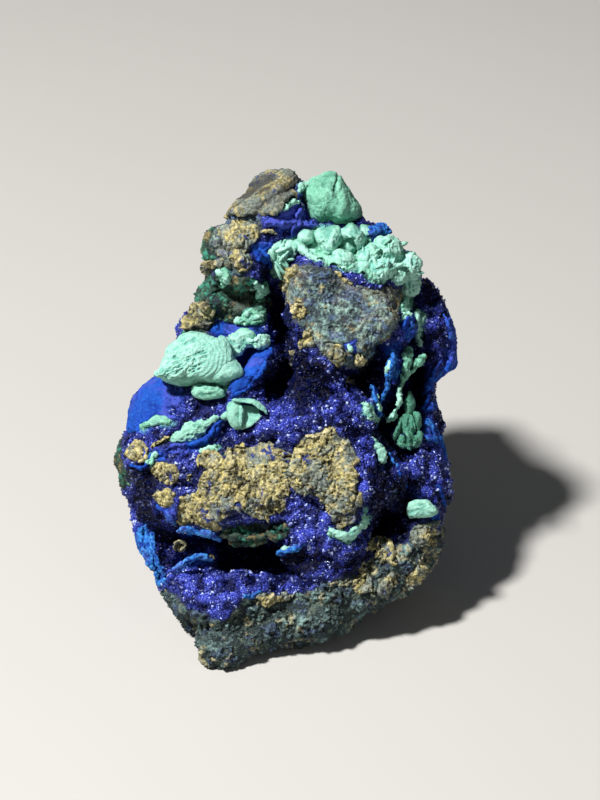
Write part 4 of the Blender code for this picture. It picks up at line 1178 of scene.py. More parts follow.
# Painted highlight on the crests of the crumbs, and painted shade over them all, deepest in their creases, as
# they hang under the roof of the cave.
note(mesh, "pale", 0.5 * smooth_step(-0.1, 0.2, crest))
note(mesh, "hollow", 0.4 + 0.6 * smooth_step(0.05, -0.1, crest))
note(mesh, "rust", smooth_step(0.35, 0.7, clouds(crumb_place, 0.9, 221)))
note(mesh, "dust", smooth_step(0.2, 0.5, clouds(crumb_place, 0.8, 231)))
mesh.materials.append(moss_material)
roof = new_object("cave_roof", mesh)
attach(roof, "root")

bare_rock("moss", "back")


# ---- The druse --------------------------------------------------------------------------------
# Most of the stone is lined with azurite crystals a few tenths of a millimetre long: dark glassy
# wedges with a chisel edge, set close and every way round, that glint as the light crosses them.

def wedges(middles, outward, sizes, seed):
    """The corners of wedges: a base oblong, and a shorter ridge above it, turned and tipped at random."""
    dice = np.random.default_rng(seed)
    tipped = outward + 0.5 * dice.normal(size=outward.shape)
    tipped /= np.linalg.norm(tipped, axis=1)[:, None]
    side = np.cross(tipped, dice.normal(size=outward.shape))
    side /= np.linalg.norm(side, axis=1)[:, None]
    other = np.cross(tipped, side)
    long = sizes * dice.uniform(0.75, 1.35, len(sizes))
    broad = sizes * dice.uniform(0.4, 0.75, len(sizes))
    tall = sizes * dice.uniform(0.7, 1.5, len(sizes))
    ridge = dice.uniform(0.35, 0.8, len(sizes))
    corners = []
    for a, b in ((-1, -1), (1, -1), (1, 1), (-1, 1)):
        base = side * (a * long)[:, None] + other * (b * broad)[:, None]
        corners.append(base - tipped * (0.35 * tall)[:, None])
    for a in (-1, 1):
        corners.append(side * (a * ridge * long)[:, None] + tipped * tall[:, None])
    return middles[:, None, :] + np.stack(corners, axis=1)


WEDGE_CORNERS = 6
WEDGE_QUADS = ((0, 3, 2, 1), (0, 1, 5, 4), (2, 3, 4, 5))
WEDGE_TRIANGLES = ((1, 2, 5), (3, 0, 4))


def wedge_mesh(name, corners):
    """The wedges' corners as one mesh, with three quads and two triangles each, turned outwards."""
    starts = np.arange(len(corners))[:, None, None] * WEDGE_CORNERS
    quads, triangles = starts + np.array(WEDGE_QUADS), starts + np.array(WEDGE_TRIANGLES)
    loops = np.concatenate([quads.ravel(), triangles.ravel()])
    totals = np.repeat([4, 3], [quads.size // 4, triangles.size // 3])
    mesh = bpy.data.meshes.new(name)
    mesh.vertices.add(len(corners) * WEDGE_CORNERS)
    mesh.vertices.foreach_set("co", corners.ravel().astype(np.float32))
    mesh.loops.add(len(loops))
    mesh.loops.foreach_set("vertex_index", loops.astype(np.int32))
    mesh.polygons.add(len(totals))
    mesh.polygons.foreach_set("loop_start", (np.cumsum(totals) - totals).astype(np.int32))
    mesh.polygons.foreach_set("loop_total", totals.astype(np.int32))
    mesh.update(calc_edges=True)
    mesh.validate()
    return mesh


def druse_material():
    """Dark to bright glassy blue, in clouds and darker with painted shade where the mesh says, with painted
    pale glints where it says.
    """
    box = Paintbox("druse_crystals", 0.2)
    blotch, _ = box.speckled(260, 900, 0.46, 0.12)
    colour = box.mixed(box.kept("tint"), (0.001, 0.002, 0.016), (0.06, 0.085, 0.62))
    colour = box.mixed(box.times(blotch, 0.45), colour, (0.004, 0.004, 0.04))
    box.coloured(box.mixed(box.kept("glint"), colour, (0.52, 0.62, 1)))
    box.plug(box.reckoned("MULTIPLY_ADD", box.kept("bright"), 0.08, 0.06), box.shader.inputs["Roughness"])
    box.shader.inputs["IOR"].default_value = 1.75
    box.shader.inputs["Specular IOR Level"].default_value = 0.19
    box.shader.inputs["Specular Tint"].default_value = (0.4, 0.5, 1, 1)
    return box.material


# More crystals grow where the druse is pure and dark, a few on the velvet's fringe, none at the sawn foot.
SMALLEST_WEDGE, WEDGE_SPREAD, BRIGHT_SHRINK = 0.08, 0.2, 0.08
WEDGES_IN_A_PIECE = 13500
FOOT_MARGIN = 0.4 * MM

lump_points, lump_normals, _ = surface(lump.data)
triangles = bmesh.new()
triangles.from_mesh(lump.data)
bmesh.ops.triangulate(triangles, faces=triangles.faces[:])
flat = bpy.data.meshes.new("lump_flat")
triangles.to_mesh(flat)
triangles.free()
corner_ids = numbers(flat.loops, "vertex_index", 1, np.int32).reshape(-1, 3)
bpy.data.meshes.remove(flat)
three = lump_points[corner_ids]
areas = np.linalg.norm(np.cross(three[:, 1] - three[:, 0], three[:, 2] - three[:, 0]), axis=1) / 2
on_druse = smooth_step(0.35, 0.8, druse[corner_ids].mean(axis=1))
weights = areas * np.maximum(on_druse, 0.7 * fringe[corner_ids].mean(axis=1))
weights *= three.mean(axis=1)[:, 2] > FOOT_MARGIN
weights *= 1.25 - 0.5 * glow[corner_ids].mean(axis=1)
druse_crystals = druse_material()
dice = np.random.default_rng(11)
for part in range(2):
    picked = dice.choice(len(areas), WEDGES_IN_A_PIECE, p=weights / weights.sum())
    mix = dice.dirichlet((1, 1, 1), WEDGES_IN_A_PIECE)
    middles = (three[picked] * mix[:, :, None]).sum(axis=1)
    outward = lump_normals[corner_ids[picked]].mean(axis=1)
    bright = glow[corner_ids[picked]].mean(axis=1)
    spread = WEDGE_SPREAD - BRIGHT_SHRINK * bright
    sizes = (SMALLEST_WEDGE + spread * dice.random(WEDGES_IN_A_PIECE) ** 2.2) * MM
    corners = wedges(middles, outward, sizes, 21 + part)
    corners[..., 2] = np.maximum(corners[..., 2], 0)
    mesh = wedge_mesh("druse", corners)
    share = dice.random(WEDGES_IN_A_PIECE)
    # The crystals' brightness holds painted shade in the hollows and painted highlights on the knots, and a
    # few get a painted pale glint.
    tint = np.clip((0.15 + 0.85 * share) * (0.06 + 1.5 * bright), 0, 1)
    glint = smooth_step(0.84 - 0.3 * bright, 1.02 - 0.2 * bright, share) * np.clip(0.15 + 1.2 * bright, 0, 1)
    note(mesh, "tint", np.repeat(tint, WEDGE_CORNERS))
    note(mesh, "glint", np.repeat(glint, WEDGE_CORNERS))
    note(mesh, "bright", np.repeat(bright, WEDGE_CORNERS))
    crystals = new_object(f"druse_{part + 1}", mesh)
    mesh.materials.append(druse_crystals)
    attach(crystals, "root")


# ---- The rosette ------------------------------------------------------------------------------
# Malachite that grew on the blue in thin skins: a crumpled cap over a bed, with growth rings round its
# right side, a smooth lobe, a leaf underneath and an arm that reaches over the dish.

def lens(outline, level=None, rise=1.2, sink=2.0, lean=(0, 0), full=2.0, step=0.175, middle=None, lift=0.0):
    """A closed lens, as a grid of rings and its two poles. A ring at angle t from the crown is the outline
    shrunk by sin(t)^(2/n) towards the middle; it lies at the level plus rise (above) or sink (below) times
    cos(t)^(2/n), and leans by the slopes. n is 2 for an ellipse, and more is flatter on top. With no level
    given it rests on the lump, or lift above it."""
    edge = smooth_curve(outline, step)
    beyond = np.roll(edge, -1, 0)
    if (edge[:, 0] * beyond[:, 1] - edge[:, 1] * beyond[:, 0]).sum() < 0:
        edge = edge[::-1]
    middle = edge.mean(axis=0) if middle is None else np.array(middle)
    level = resting(*middle) + lift if level is None else level
    reach = np.linalg.norm(edge - middle, axis=1).mean()
    above = max(6, int((reach + rise) / step))
    below = max(4, int((0.6 * reach + sink) / step / 2))
    upper, lower = np.linspace(0, np.pi / 2, above + 1), np.linspace(np.pi / 2, np.pi, below + 1)
    t = np.concatenate([upper[1:], lower[1:-1]])
    shrink = np.sin(t) ** (2 / full)
    tall = np.sign(np.cos(t)) * np.abs(np.cos(t)) ** (2 / full)
    height = np.where(tall > 0, tall * rise, tall * sink)
    flat = middle + (edge - middle)[None] * shrink[:, None, None]
    out = level + height[:, None] + (flat - middle) @ np.array(lean)
    poles = np.array([(*middle, level + rise), (*middle, level - sink)])
    return np.concatenate([flat, out[:, :, None]], axis=2), poles


TERRACE_DROP = 0.14


def terraces(reach, pace):
    """Overlapping skins: a saw of the distance, from 0 to 1, that climbs slowly and drops in TERRACE_DROP."""
    turn = np.mod(reach / pace, 1)
    return np.minimum(turn / (1 - TERRACE_DROP), (1 - turn) / TERRACE_DROP)


RING_CENTRE = (-12.4, 5)


def cap_relief(spots):
    """Crumpled in slanting bands on the left, stepped in rings on the right about its centre, and creased."""
    across, up = spots[:, 0], spots[:, 1]
    x, y = across - RING_CENTRE[0], up - RING_CENTRE[1]
    warp = clouds(spots, 1.6, 301)
    reach = np.hypot(x, 1.05 * y) + 0.22 * warp
    angle = np.arctan2(y, x)
    ringed = smooth_step(1.3, 2.2, reach) * smooth_step(-1.5, -0.9, angle) * smooth_step(1.6, 1.1, angle)
    slant = up - 0.42 * (across + 13)
    band = smooth_step(2.2, 1.0, np.abs(slant - 4.3) + 0.5 * warp) * (1 - ringed)
    drawn = np.stack([0.45 * (across + 0.4 * up), slant, 0.5 * spots[:, 2]], axis=1)
    crumple = 0.12 * creases(drawn, 0.7, 311) + 0.12 * creases(drawn, 0.33, 321) + 0.1 * warp - 0.05
    crumple = crumple + 0.06 * creases(spots, 0.3, 337)
    rest = 0.08 * clouds(spots, 0.9, 331) + 0.1 * creases(drawn, 0.6, 335) - 0.03
    rings = 0.1 * terraces(reach + 0.12 * clouds(spots, 0.6, 303), 0.52) - 0.06
    rings = rings + 0.03 * creases(drawn, 0.4, 323)
    return ringed * rings + band * crumple + (1 - ringed) * (1 - band) * rest


def soft_relief(spots):
    """Low swells and a few fine creases."""
    return 0.07 * clouds(spots, 1.1, 341) + 0.05 * creases(spots, 0.9, 345) + 0.02 * creases(spots, 0.35, 347)


def leaf_relief(spots):
    """Folds along a leaf, wavering, over fine creases."""
    drawn = np.stack([0.35 * spots[:, 0], spots[:, 1] - 0.12 * spots[:, 0], 0.4 * spots[:, 2]], axis=1)
    return 0.12 * creases(drawn, 0.5, 351) + 0.04 * creases(spots, 0.45, 355)


def blade_relief(spots):
    """Creases along a blade that runs up the face."""
    drawn = np.stack([spots[:, 0] + 0.2 * spots[:, 1], 0.25 * spots[:, 1], 0.4 * spots[:, 2]], axis=1)
    return 0.1 * creases(drawn, 0.6, 357) + 0.04 * creases(spots, 0.4, 359)


def crumpled_relief(spots):
    """Crests of three sizes, as in a crushed skin."""
    large, middle, fine = creases(spots, 1.1, 361), creases(spots, 0.45, 365), creases(spots, 0.25, 367)
    return 0.16 * large + 0.12 * middle + 0.04 * fine


ROSETTE = [  # each growth: its outline, its lens and its relief
    ([(-16.5, 2.9), (-15.8, 5), (-14.4, 7), (-12, 7.6), (-9.8, 7), (-8.2, 6), (-7.2, 4), (-7, 2.8),
      (-8.2, 1.7), (-10, 1.6), (-12, 1.7), (-13.4, 1.6), (-14.8, 1.8), (-16, 2.4)],
     dict(level=1.7, rise=2.3, sink=2.4, lean=(0, -0.22), full=2.8), soft_relief),
    ([(-16.9, 2.9), (-16.2, 3.8), (-15.7, 4.8), (-15.6, 5.8), (-15.1, 6.5), (-14.4, 6.9), (-13.7, 7.6),
      (-12.6, 7.9), (-11.4, 7.8), (-10.4, 7.5), (-9.7, 7.2), (-9.1, 7.5), (-8.4, 7), (-8, 6.2), (-7.8, 5.4),
      (-7.7, 4.6), (-8.4, 3.6), (-9.6, 2.8), (-10.8, 2.4), (-12, 2.5), (-12.8, 2.4), (-13.4, 3), (-14, 2.7),
      (-15, 2.4), (-16, 2.6)],
     dict(level=3.7, rise=1.8, sink=1.6, lean=(-0.04, -0.26), full=3, middle=(-12.2, 5), step=0.11),
     cap_relief),
    ([(-11.2, 2.7), (-10.6, 3.7), (-9.6, 4.6), (-8.6, 5), (-7.6, 4.7), (-6.9, 4), (-6.5, 3.3), (-6.9, 2.7),
      (-7.8, 2.3), (-9.2, 2.05), (-10.6, 2.1)],
     dict(level=3.9, rise=1.35, sink=2, lean=(-0.06, -0.1), full=2.2), soft_relief),
    ([(-12.6, 1.0), (-12.4, 1.5), (-12, 1.8), (-11.3, 1.85), (-10, 1.7), (-9, 1.3), (-8.6, 0.9), (-9, 0.45),
      (-10, 0.2), (-11, 0.1), (-11.9, 0.3), (-12.4, 0.6)],
     dict(level=3.4, rise=1.3, sink=2, lean=(0, -0.1), full=2.4), leaf_relief),
    ([(-9, 1.5), (-8, 1.7), (-7.3, 1.5), (-7.5, 1.0), (-8.6, 0.8)],
     dict(level=2.9, rise=0.6, sink=1.6), soft_relief),
    ([(-8.6, 6.9), (-8.1, 7.5), (-7.5, 7.7), (-6.8, 7.4), (-6, 7), (-5, 6.9), (-4.4, 7.6), (-3.8, 7.5),
      (-3.5, 6.9), (-3.8, 6.2), (-4.2, 5.7), (-4.9, 6.1), (-5.6, 6.3), (-6.5, 6.1), (-6.8, 5.5),
      (-7.5, 5.1), (-8, 5.5), (-8.4, 6.2)],
     dict(level=0.7, rise=1.5, sink=2.6, lean=(-0.1, 0), full=2.4, step=0.13), crumpled_relief),
    ([(-7.9, 7.3), (-7.2, 8.1), (-6.2, 8.3), (-5.2, 7.8), (-5.4, 7), (-7, 6.8)],
     dict(level=-0.3, rise=1.1, sink=1.6), soft_relief),
]


def malachite_material():
    """Deep green in the creases and brighter on the crests: painted shade and painted highlight, partly the
    paler rubbed tops. A paler pair of greens where the mesh says.
    """
    box = Paintbox("malachite_skin", 0.68)
    blotch, fleck = box.speckled(420, 3800, 0.46, 0.16)
    # Painted shade in the creases and painted highlight on the crests, partly the paler rubbed tops.
    high = box.spread(box.kept("crest"), -0.14, 0.14)
    colour = box.mixed(high, (0.02, 0.16, 0.1), (0.22, 0.6, 0.42))
    colour = box.mixed(box.times(blotch, 0.4), colour, (0.08, 0.36, 0.23))
    colour = box.mixed(box.kept("pale"), colour, box.mixed(high, (0.17, 0.52, 0.44), (0.5, 0.86, 0.74)))
    box.coloured(box.mixed(box.times(fleck, 0.25), colour, (0.42, 0.78, 0.63)))
    box.bumped(box.texture("Noise", 2100, Detail=7, Roughness=0.7, Distortion=1.0).outputs["Fac"], 0.0003)
    return box.material


malachite = malachite_material()
mesh = grown("rosette", [(lens(outline, **values), relief) for outline, values, relief in ROSETTE])
rosette_up = as_seen(surface(mesh)[0])[1]
note(mesh, "pale", 0.3 + 0.5 * smooth_step(1.4, 3.4, rosette_up) * smooth_step(8.3, 7.6, rosette_up))
mesh.materials.append(malachite)
rosette = new_object("rosette", mesh)
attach(rosette, "root")
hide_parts("malachite_rosette")


# ---- The green crown --------------------------------------------------------------------------
# Malachite on the crown: a wrinkled dome as big as a pea, round beads in front of it, and a frilly
# cluster of small shells that runs down the right shoulder.

def around(across, up, reach_across, reach_up=None, turn=0):
    """An oval outline of twelve points."""
    t = np.linspace(0, 2 * np.pi, 12, endpoint=False)
    x, y = reach_across * np.cos(t), (reach_up or reach_across) * np.sin(t)
    turn = math.radians(turn)
    return np.stack([across + x * math.cos(turn) - y * math.sin(turn),
                     up + x * math.sin(turn) + y * math.cos(turn)], axis=1)


def dome_relief(spots):
    """Fine wrinkles across a swelling peak, a split near the top, and a blunt rib from it to the foot."""
    across, up, out = spots.T
    split = along(across, up, [(4.3, 26), (4.1, 25), (4, 24.3)], 0.14)
    rib = along(across, up, [(4.2, 25.6), (4.9, 23.6), (4.7, 21.4)], 0.5)
    slant = np.stack([across + 0.5 * up, 0.45 * (up - 0.5 * across), 0.6 * out], axis=1)
    wrinkle = 0.07 * creases(slant, 0.9, 411) + 0.06 * creases(spots, 0.42, 413)
    return wrinkle + 0.1 * clouds(spots, 2, 415, 2) - 0.35 * split + 0.3 * rib


def fan_relief(across_0, up_0, pace=0.5):
    """The relief of low overlapping skins about a point, broken by ribs and creases."""
    def relief(spots):
        """The relief at each spot."""
        x, y = spots[:, 0] - across_0, spots[:, 1] - up_0
        reach = np.hypot(x, y) + 0.2 * clouds(spots, 0.9, 421)
        ribs = creases(np.stack([2.2 * np.arctan2(y, x), 0.3 * reach, 0 * x], axis=1), 1.0, 427)
        return 0.08 * terraces(reach, pace) - 0.05 + 0.08 * ribs + 0.07 * creases(spots, 0.4, 425)
    return relief


CROWN = [  # each growth: its outline, its lens and its relief
    ([(0.6, 24.8), (1.3, 25.6), (2.2, 25.9), (2.9, 26.3), (3.6, 26.5), (4.3, 26.1), (5, 25.3), (5.8, 24.3),
      (6.5, 23.3), (7.05, 22.4), (7.25, 21.6), (7.1, 20.8), (6.4, 20.3), (5, 20.2), (3.8, 20.1),
      (2.6, 20.2), (1.6, 20.5), (1.05, 21), (0.85, 21.8), (0.75, 22.6), (0.45, 23.6)],
     dict(level=-0.4, rise=3.7, sink=2.4, lean=(-0.14, 0.1), full=1.9, middle=(3.4, 23), step=0.15),
     dome_relief),
    (around(0.7, 18.9, 1.0), dict(level=2.6, rise=1.4), soft_relief),
    ([(-0.6, 18.5), (0.1, 18.3), (0.8, 17.7), (1.5, 17.1), (2.3, 16.5), (3.1, 16.1), (3.2, 15.5),
      (2.2, 15.5), (1.4, 15.9), (0.6, 16.6), (-0.1, 17.2), (-0.7, 17.8)],
     dict(level=3.9, rise=1.1, sink=2.4, lean=(0.2, -0.35), full=2.2), fan_relief(-1, 19)),
    (around(-1.5, 17.3, 1.3, 1.0, 40), dict(level=2.4, rise=1.2), crumpled_relief),
    (around(2.4, 19.1, 0.8), dict(level=2.3, rise=1.3), soft_relief),
    ([(1.7, 18.9), (2.1, 19.6), (2.9, 20), (3.9, 20.3), (4.6, 20), (5.1, 19.3), (5, 18.5), (4.4, 17.8),
      (4, 17.1), (3.4, 16.7), (2.8, 16.8), (2.5, 17.6), (2.1, 18.2)],
     dict(level=2.7, rise=1.9, sink=2.4, lean=(0, -0.2), full=2.2), fan_relief(3, 16.6, 0.8)),
    ([(4.6, 19.4), (5, 20.1), (5.9, 20.5), (6.7, 20.2), (7.3, 19.4), (7.5, 18.4), (7.2, 17.4), (6.8, 17.2),
      (6.7, 18), (6.3, 18.7), (5.6, 18.9), (5, 18.7)],
     dict(level=2.4, rise=2.0, sink=2.4, lean=(0, 0.1)), fan_relief(5, 17.6, 0.6)),
    (around(5.7, 18, 1.1, 1.1), dict(level=1.9, rise=1.0), soft_relief),
    (around(4.9, 16.3, 1.5, 1.15, -8),
     dict(level=4.3, rise=1.5, sink=2.2, lean=(0, -0.2)), fan_relief(5, 15.4, 0.6)),
    ([(7.0, 20.4), (7.9, 20.3), (8.6, 19.8), (8.5, 19.2), (7.8, 18.8), (7.7, 17.8), (7.2, 17.6), (7, 19)],
     dict(level=0.9, rise=1.2), soft_relief),
    (around(8.0, 16.7, 1.55, 1.35, 30), dict(level=3.0, rise=1.5, sink=2.2), fan_relief(9.4, 15.2, 0.6)),
    (around(10.2, 17.5, 1.75, 1.5, -20), dict(level=1.7, rise=1.9, sink=2.4), crumpled_relief),
    (around(9.3, 15.2, 2.1, 1.4, 10),
     dict(level=3.5, rise=1.4, sink=2.2, lean=(-0.1, -0.2)), fan_relief(10.4, 13.4, 0.6)),
    (around(7.3, 15.5, 0.85), dict(level=4.1, rise=1.0), soft_relief),
    (around(12.6, 15.5, 1.5, 1.7, 10), dict(level=0.6, rise=2.1, sink=2.4), crumpled_relief),
    (around(12.7, 13.4, 1.2, 1.4, 0), dict(level=-0.4, rise=1.8), crumpled_relief),
    (around(11.2, 14.4, 1.3, 1.1, 0), dict(level=2.4, rise=1.4), fan_relief(10.6, 13.6)),
]

# Frills stand on the cluster: each is a small oval blade, leaning, at the height of the swelling below it.
BEDS = np.array([  # across, up, reach across and up, height of the crown, share of the frills
    (9.3, 15.2, 2.1, 1.4, 4.9, 0.28), (10.2, 17.5, 1.6, 1.3, 3.5, 0.2), (12.6, 15.4, 1.2, 1.4, 2.6, 0.2),
    (8, 16.8, 1.4, 1.2, 4.5, 0.1), (-1.9, 16.6, 1.4, 1.9, 4.2, 0.16), (12.6, 13.6, 1, 1.1, 1.4, 0.06)])
FRILLS = 72
dice = np.random.default_rng(31)
frills = []
for bed in dice.choice(len(BEDS), FRILLS, p=BEDS[:, 5]):
    across, up, reach_across, reach_up, crown_height, _ = BEDS[bed]
    angle, away = dice.uniform(0, 2 * np.pi), np.sqrt(dice.random())
    long, short, turn = dice.uniform(0.5, 1.1), dice.uniform(0.15, 0.26), dice.uniform(0, 180)
    frill_across = across + away * reach_across * np.cos(angle)
    frill_up = up + away * reach_up * np.sin(angle)
    blade = lens(around(frill_across, frill_up, long, short, turn), level=crown_height - 1.7 * away**2 - 0.2,
                 rise=0.6, sink=1, step=0.2, lean=dice.uniform(-0.5, 0.5, 2))
    frills.append((blade, soft_relief))
mesh = grown("crown", [(lens(outline, **values), relief) for outline, values, relief in CROWN] + frills)
crown_points, _, crown_place = surface(mesh)
crown_up = as_seen(crown_points)[1]
crest = numbers(mesh.attributes["crest"].data, "value", 1)
below_dome = 0.55 + 0.45 * smooth_step(-0.1, 0.5, clouds(crown_place, 1.2, 431))
# Painted highlight and shade: the crests and creases of the beads and cluster below the dome get stronger
# contrast.
note(mesh, "crest", crest * (1 + 0.7 * (crown_up < 20)))
note(mesh, "pale", 0.05 + smooth_step(20.4, 19.8, crown_up) * below_dome)
mesh.materials.append(malachite)
crown = new_object("green_crown", mesh)
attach(crown, "root")
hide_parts("malachite_crown")


# ---- The small green growths ------------------------------------------------------------------
# Single skins of malachite elsewhere: a curled shell and a crust on the shelf, a knob on the right
# flank, and a strip with a tuft at its foot in the gap beside the ridge.

def bed_relief(spots):
    """Blades packed deep between the leaves."""
    return 2 * blade_relief(spots) - 0.4


SMALL_GROWTHS = {  # the growths of each piece: outline, lens and relief
    "shell": [
        ([(-8.5, -0.6), (-8.1, -0.1), (-7.4, 0), (-6.9, -0.5), (-6.8, -1.4), (-6.9, -2.4), (-6.7, -3.2),
          (-7.2, -3.5), (-7.9, -3.1), (-8.4, -2.2), (-8.5, -1.3)],
         dict(level=4.5, rise=0.9, lean=(-0.1, 0)), soft_relief),
        ([(-7.1, -0.7), (-6, -0.7), (-5, -0.9), (-4.3, -1.6), (-5.2, -2.7), (-6.2, -3.3), (-7, -3.4),
          (-7.3, -2.2)],
         dict(level=4.2, rise=0.25, sink=1.6, lean=(0.3, -0.35)), soft_relief),
        ([(-8, 0.05), (-7.2, 0.2), (-6.3, 0.15), (-5.4, 0.15), (-4.6, -0.3), (-4, -0.9), (-3.7, -1.7),
          (-4, -1.6), (-4.6, -0.8), (-5.3, -0.3), (-6.2, -0.25), (-7.2, -0.3)],
         dict(level=5.2, rise=0.6, sink=1.9, step=0.13), soft_relief),
        ([(-6.9, -0.5), (-6.5, -1.2), (-6.6, -2.3), (-6.8, -3.1), (-7.1, -2.6), (-7.1, -1.4)],
         dict(level=5, rise=0.5, sink=1.6, step=0.13), soft_relief),
        ([(-9.1, -1.8), (-8.4, -1.3), (-8.2, -1.8), (-8.5, -2.3), (-9.1, -2.2)],
         dict(level=3.6, rise=0.5, sink=1), soft_relief),
    ],
    "crust": [
        ([(-15, -4.5), (-13.9, -3.4), (-12.9, -2.7), (-11.8, -2.4), (-10.8, -2.2), (-9.8, -1.8),
          (-9.6, -2.2), (-10.4, -3), (-11, -3.8), (-12, -4.5), (-13.5, -4.9), (-14.6, -5)],
         dict(level=3.3, rise=0.75, sink=1.4), crumpled_relief),
        ([(-17.5, -2.4), (-16.8, -1.9), (-16, -1.75), (-15.2, -1.9), (-14.6, -2.5), (-15.4, -2.95),
          (-16.2, -2.8), (-17.2, -3.05)],
         dict(level=2.4, rise=0.6, sink=1.2), soft_relief),
    ],
    "knob": [
        ([(12.6, -12), (13.2, -11.7), (14.6, -11.6), (15.2, -12), (16, -12.8), (15.6, -13.3), (14.9, -13.5),
          (13.6, -13.6), (12.7, -13.6), (12.5, -12.8)],
         dict(level=1.4, rise=1.2, sink=2.2, full=3.4), leaf_relief),
    ],
    "strip": [
        ([(12, 6), (12.9, 5.9), (12.9, 4.6), (12.6, 3), (12.1, 2), (11.7, 1), (11.4, 0.9), (11.7, 2.4),
          (12, 4)],
         dict(level=0.9, rise=1.1), crumpled_relief),
        ([(14.5, 5.3), (13.6, 4.8), (12.9, 3.8), (12.6, 3), (13.3, 3.5), (14.3, 4.6)],
         dict(level=0.4, rise=0.8), crumpled_relief),
        ([(12.6, 1), (13.1, 0.3), (13.3, -0.6), (12.8, -1.9), (12.2, -1.8), (12.1, -0.2)],
         dict(level=0.4, rise=0.9), blade_relief),
        (around(12.6, -3.3, 1.2, 1.9), dict(level=1.1, rise=0.8), bed_relief),
        ([(12, -1.9), (11.6, -2.1), (11.2, -3.1), (10.8, -4.4), (11.2, -4.5), (11.8, -3.3)],
         dict(level=0.9, rise=1.3, full=1, lean=(-0.6, 0)), blade_relief),
        ([(12.5, -1.6), (12, -1.9), (11.9, -2.8), (12.1, -3.7), (12.6, -3.1), (12.9, -2.1)],
         dict(level=0.9, rise=1.1, full=1.2), crumpled_relief),
        ([(13.2, -1.4), (13.9, -1.6), (14.1, -2.6), (13.8, -3.6), (13.5, -3), (13.4, -2.2)],
         dict(level=1.1, rise=1.3, full=1, lean=(0.4, 0)), blade_relief),
        ([(12.7, -2.5), (13.1, -2.8), (13.3, -3.6), (12.9, -4), (12.6, -3.3)],
         dict(level=1.1, rise=1.2, full=1), blade_relief),
        ([(11.5, -4), (12.2, -3.7), (12.7, -4.4), (12.5, -5.4), (11.9, -5.6), (11.4, -5)],
         dict(level=1, rise=1.2, full=1.2, lean=(-0.3, -0.2)), crumpled_relief),
        ([(12.2, -3.4), (12.8, -3.4), (13.2, -4.6), (13, -5.6), (12.5, -5.6), (12.2, -4.6)],
         dict(level=1.3, rise=1.2, full=1, lean=(0, -0.2)), crumpled_relief),
        ([(12.9, -4.3), (14, -3.6), (14.3, -4.2), (13.8, -5.2), (13, -5.6)],
         dict(level=1.1, rise=1.3, full=1.2, lean=(0.3, -0.2)), crumpled_relief),
    ],
}
PALENESS = {"shell": 0.55, "crust": 0.45, "knob": 0.6, "strip": 0}
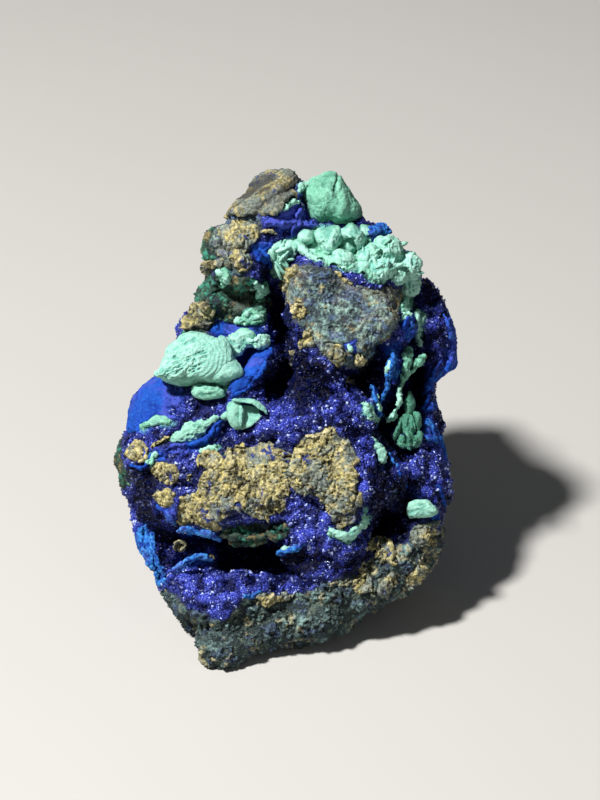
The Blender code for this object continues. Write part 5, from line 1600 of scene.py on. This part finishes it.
GREEN_LIPS = [  # path across and up, and out where it stands free, then its reach and its thickness
    ([(11, -1.6, 1.4), (11.4, -0.5, 1.5), (11.5, 0.6, 1.6), (11.8, 1.6, 1.6)], 0.7, 0.19),
    ([(10.1, -2.3, 0.9), (10.7, -2.1, 1.3), (11.2, -1.4, 1.5)], 0.8, 0.32),
    ([(13.7, 10.5), (13.6, 9.2), (13.7, 7.8), (13.9, 6.3)], 0.5, 0.2),
    ([(6.4, -14.9, 5.4), (7.3, -13.8, 4.6), (7.9, -12.4, 3.6)], 0.8, 0.3),
    ([(7, -0.4), (7.8, -1), (8.4, -1.9)], 0.45, 0.24),
    ([(8, -2.2), (8.8, -2.1), (9.6, -1.8)], 0.45, 0.24),
    ([(8.7, 0.9, 2.4), (9, -0.2, 2.9), (9.3, -1.4, 3)], 0.5, 0.2),
    ([(10.1, 2.8, 3.2), (10.3, 3.6, 3.6), (10.5, 4.6, 3.9)], 0.5, 0.24),
    ([(11.9, 9.4), (12.3, 10), (12.9, 9.7)], 0.4, 0.24),
    ([(-2, 22), (-1.2, 22.8), (0, 23.1)], 0.5, 0.3),
    ([(-0.2, 24.1), (0.3, 24.7), (1, 24.9)], 0.5, 0.3),
    ([(-3.3, 14.4), (-2.7, 15.8), (-2.3, 17.4), (-1.6, 18.7)], 0.7, 0.3),
    ([(-2.5, 14.9), (-1.8, 16), (-1.4, 17.4)], 0.6, 0.3),
    ([(-3.6, 16.8), (-2.8, 17.8), (-2.2, 18.6)], 0.5, 0.3),
    ([(-9.5, 15.3), (-8.8, 14.6), (-8.3, 13.6)], 0.4, 0.4),
    ([(-5.8, 13), (-4.9, 13.2), (-4, 12.6)], 0.5, 0.34),
    ([(-5.4, 13.8), (-4.6, 12.8), (-4.8, 11.8)], 0.5, 0.24),
    ([(-7.6, 9), (-6.2, 9.8), (-4.8, 11.2)], 0.4, 0.3),
    ([(-6.6, 8.8), (-5.4, 9.6), (-4.2, 9.8)], 0.4, 0.3),
    ([(-11.8, -6), (-10.6, -5.6), (-9.4, -5.8)], 0.4, 0.22),
    ([(-17.7, -7.6), (-17.3, -6.8), (-16.7, -6)], 0.4, 0.22),
    ([(-2.2, -17.4, 4.2), (-1.3, -17.2, 4.7), (-0.6, -16.9, 4.7)], 0.4, 0.22),
    ([(5.6, 6.6), (5.8, 6.1), (6, 5.6)], 0.3, 0.2),
]
for name, petals in SMALL_GROWTHS.items():
    mesh = grown(name, [(lens(outline, **values), relief) for outline, values, relief in petals])
    note(mesh, "pale", np.full(len(mesh.vertices), PALENESS[name]))
    if name == "strip":
        # Painted shade: the tuft at the foot of the strip, which lies in half shade, is darker.
        low = smooth_step(1.4, 0.6, as_seen(surface(mesh)[0])[1])
        note(mesh, "crest", numbers(mesh.attributes["crest"].data, "value", 1) - 0.02 - 0.24 * low)
    mesh.materials.append(malachite)
    growth = new_object(name, mesh)
    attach(growth, "root")
    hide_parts("malachite_" + name)

skin = lump_skin("green_skin", rind * (facing > -0.15), 2)
points, _, place = surface(skin)
relief = crumpled_relief(place)
raise_skin(skin, shares(skin)["rind"], 0.3 + relief)
note(skin, "crest", relief)
# Painted shade: the rind is less pale in the recess on the left, which lies in shadow.
recess = smooth_step(-3.6, -4, as_seen(points)[0])
note(skin, "pale", (0.2 + 0.5 * (clouds(place, 2, 441) > 0)) * (1 - 0.8 * recess))

CRESCENT = [(3.1, -14.6, 6), (3.9, -15.3, 6.3), (5.2, -15.8, 6.3), (6.3, -15.3, 5.8), (7.2, -14.3, 5)]
LEAF = [(8.2, -4.3), (9, -4.7), (9.8, -5.6), (10.1, -6.5), (9.8, -7.4), (9.3, -7.2), (8.9, -6.2), (8.5, -5.2)]
crescent = lip(CRESCENT, 0.7, 0.5, seed=79, waver=0.2)
leaf = lens(LEAF, rise=0.7, sink=1.6, lift=1.2, step=0.13)
lips_mesh = grown("green_lips", [(crescent, leaf_relief), (leaf, leaf_relief)]
                  + [(lip(path, 0.85 * reach, 0.9 * thick, seed=80 + i), crumpled_relief)
                     for i, (path, reach, thick) in enumerate(GREEN_LIPS)])
note(lips_mesh, "pale", np.full(len(lips_mesh.vertices), 0.65))
for name, mesh in (("green_skin", skin), ("green_lips", lips_mesh)):
    mesh.materials.append(malachite)
    growth = new_object(name, mesh)
    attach(growth, "root")
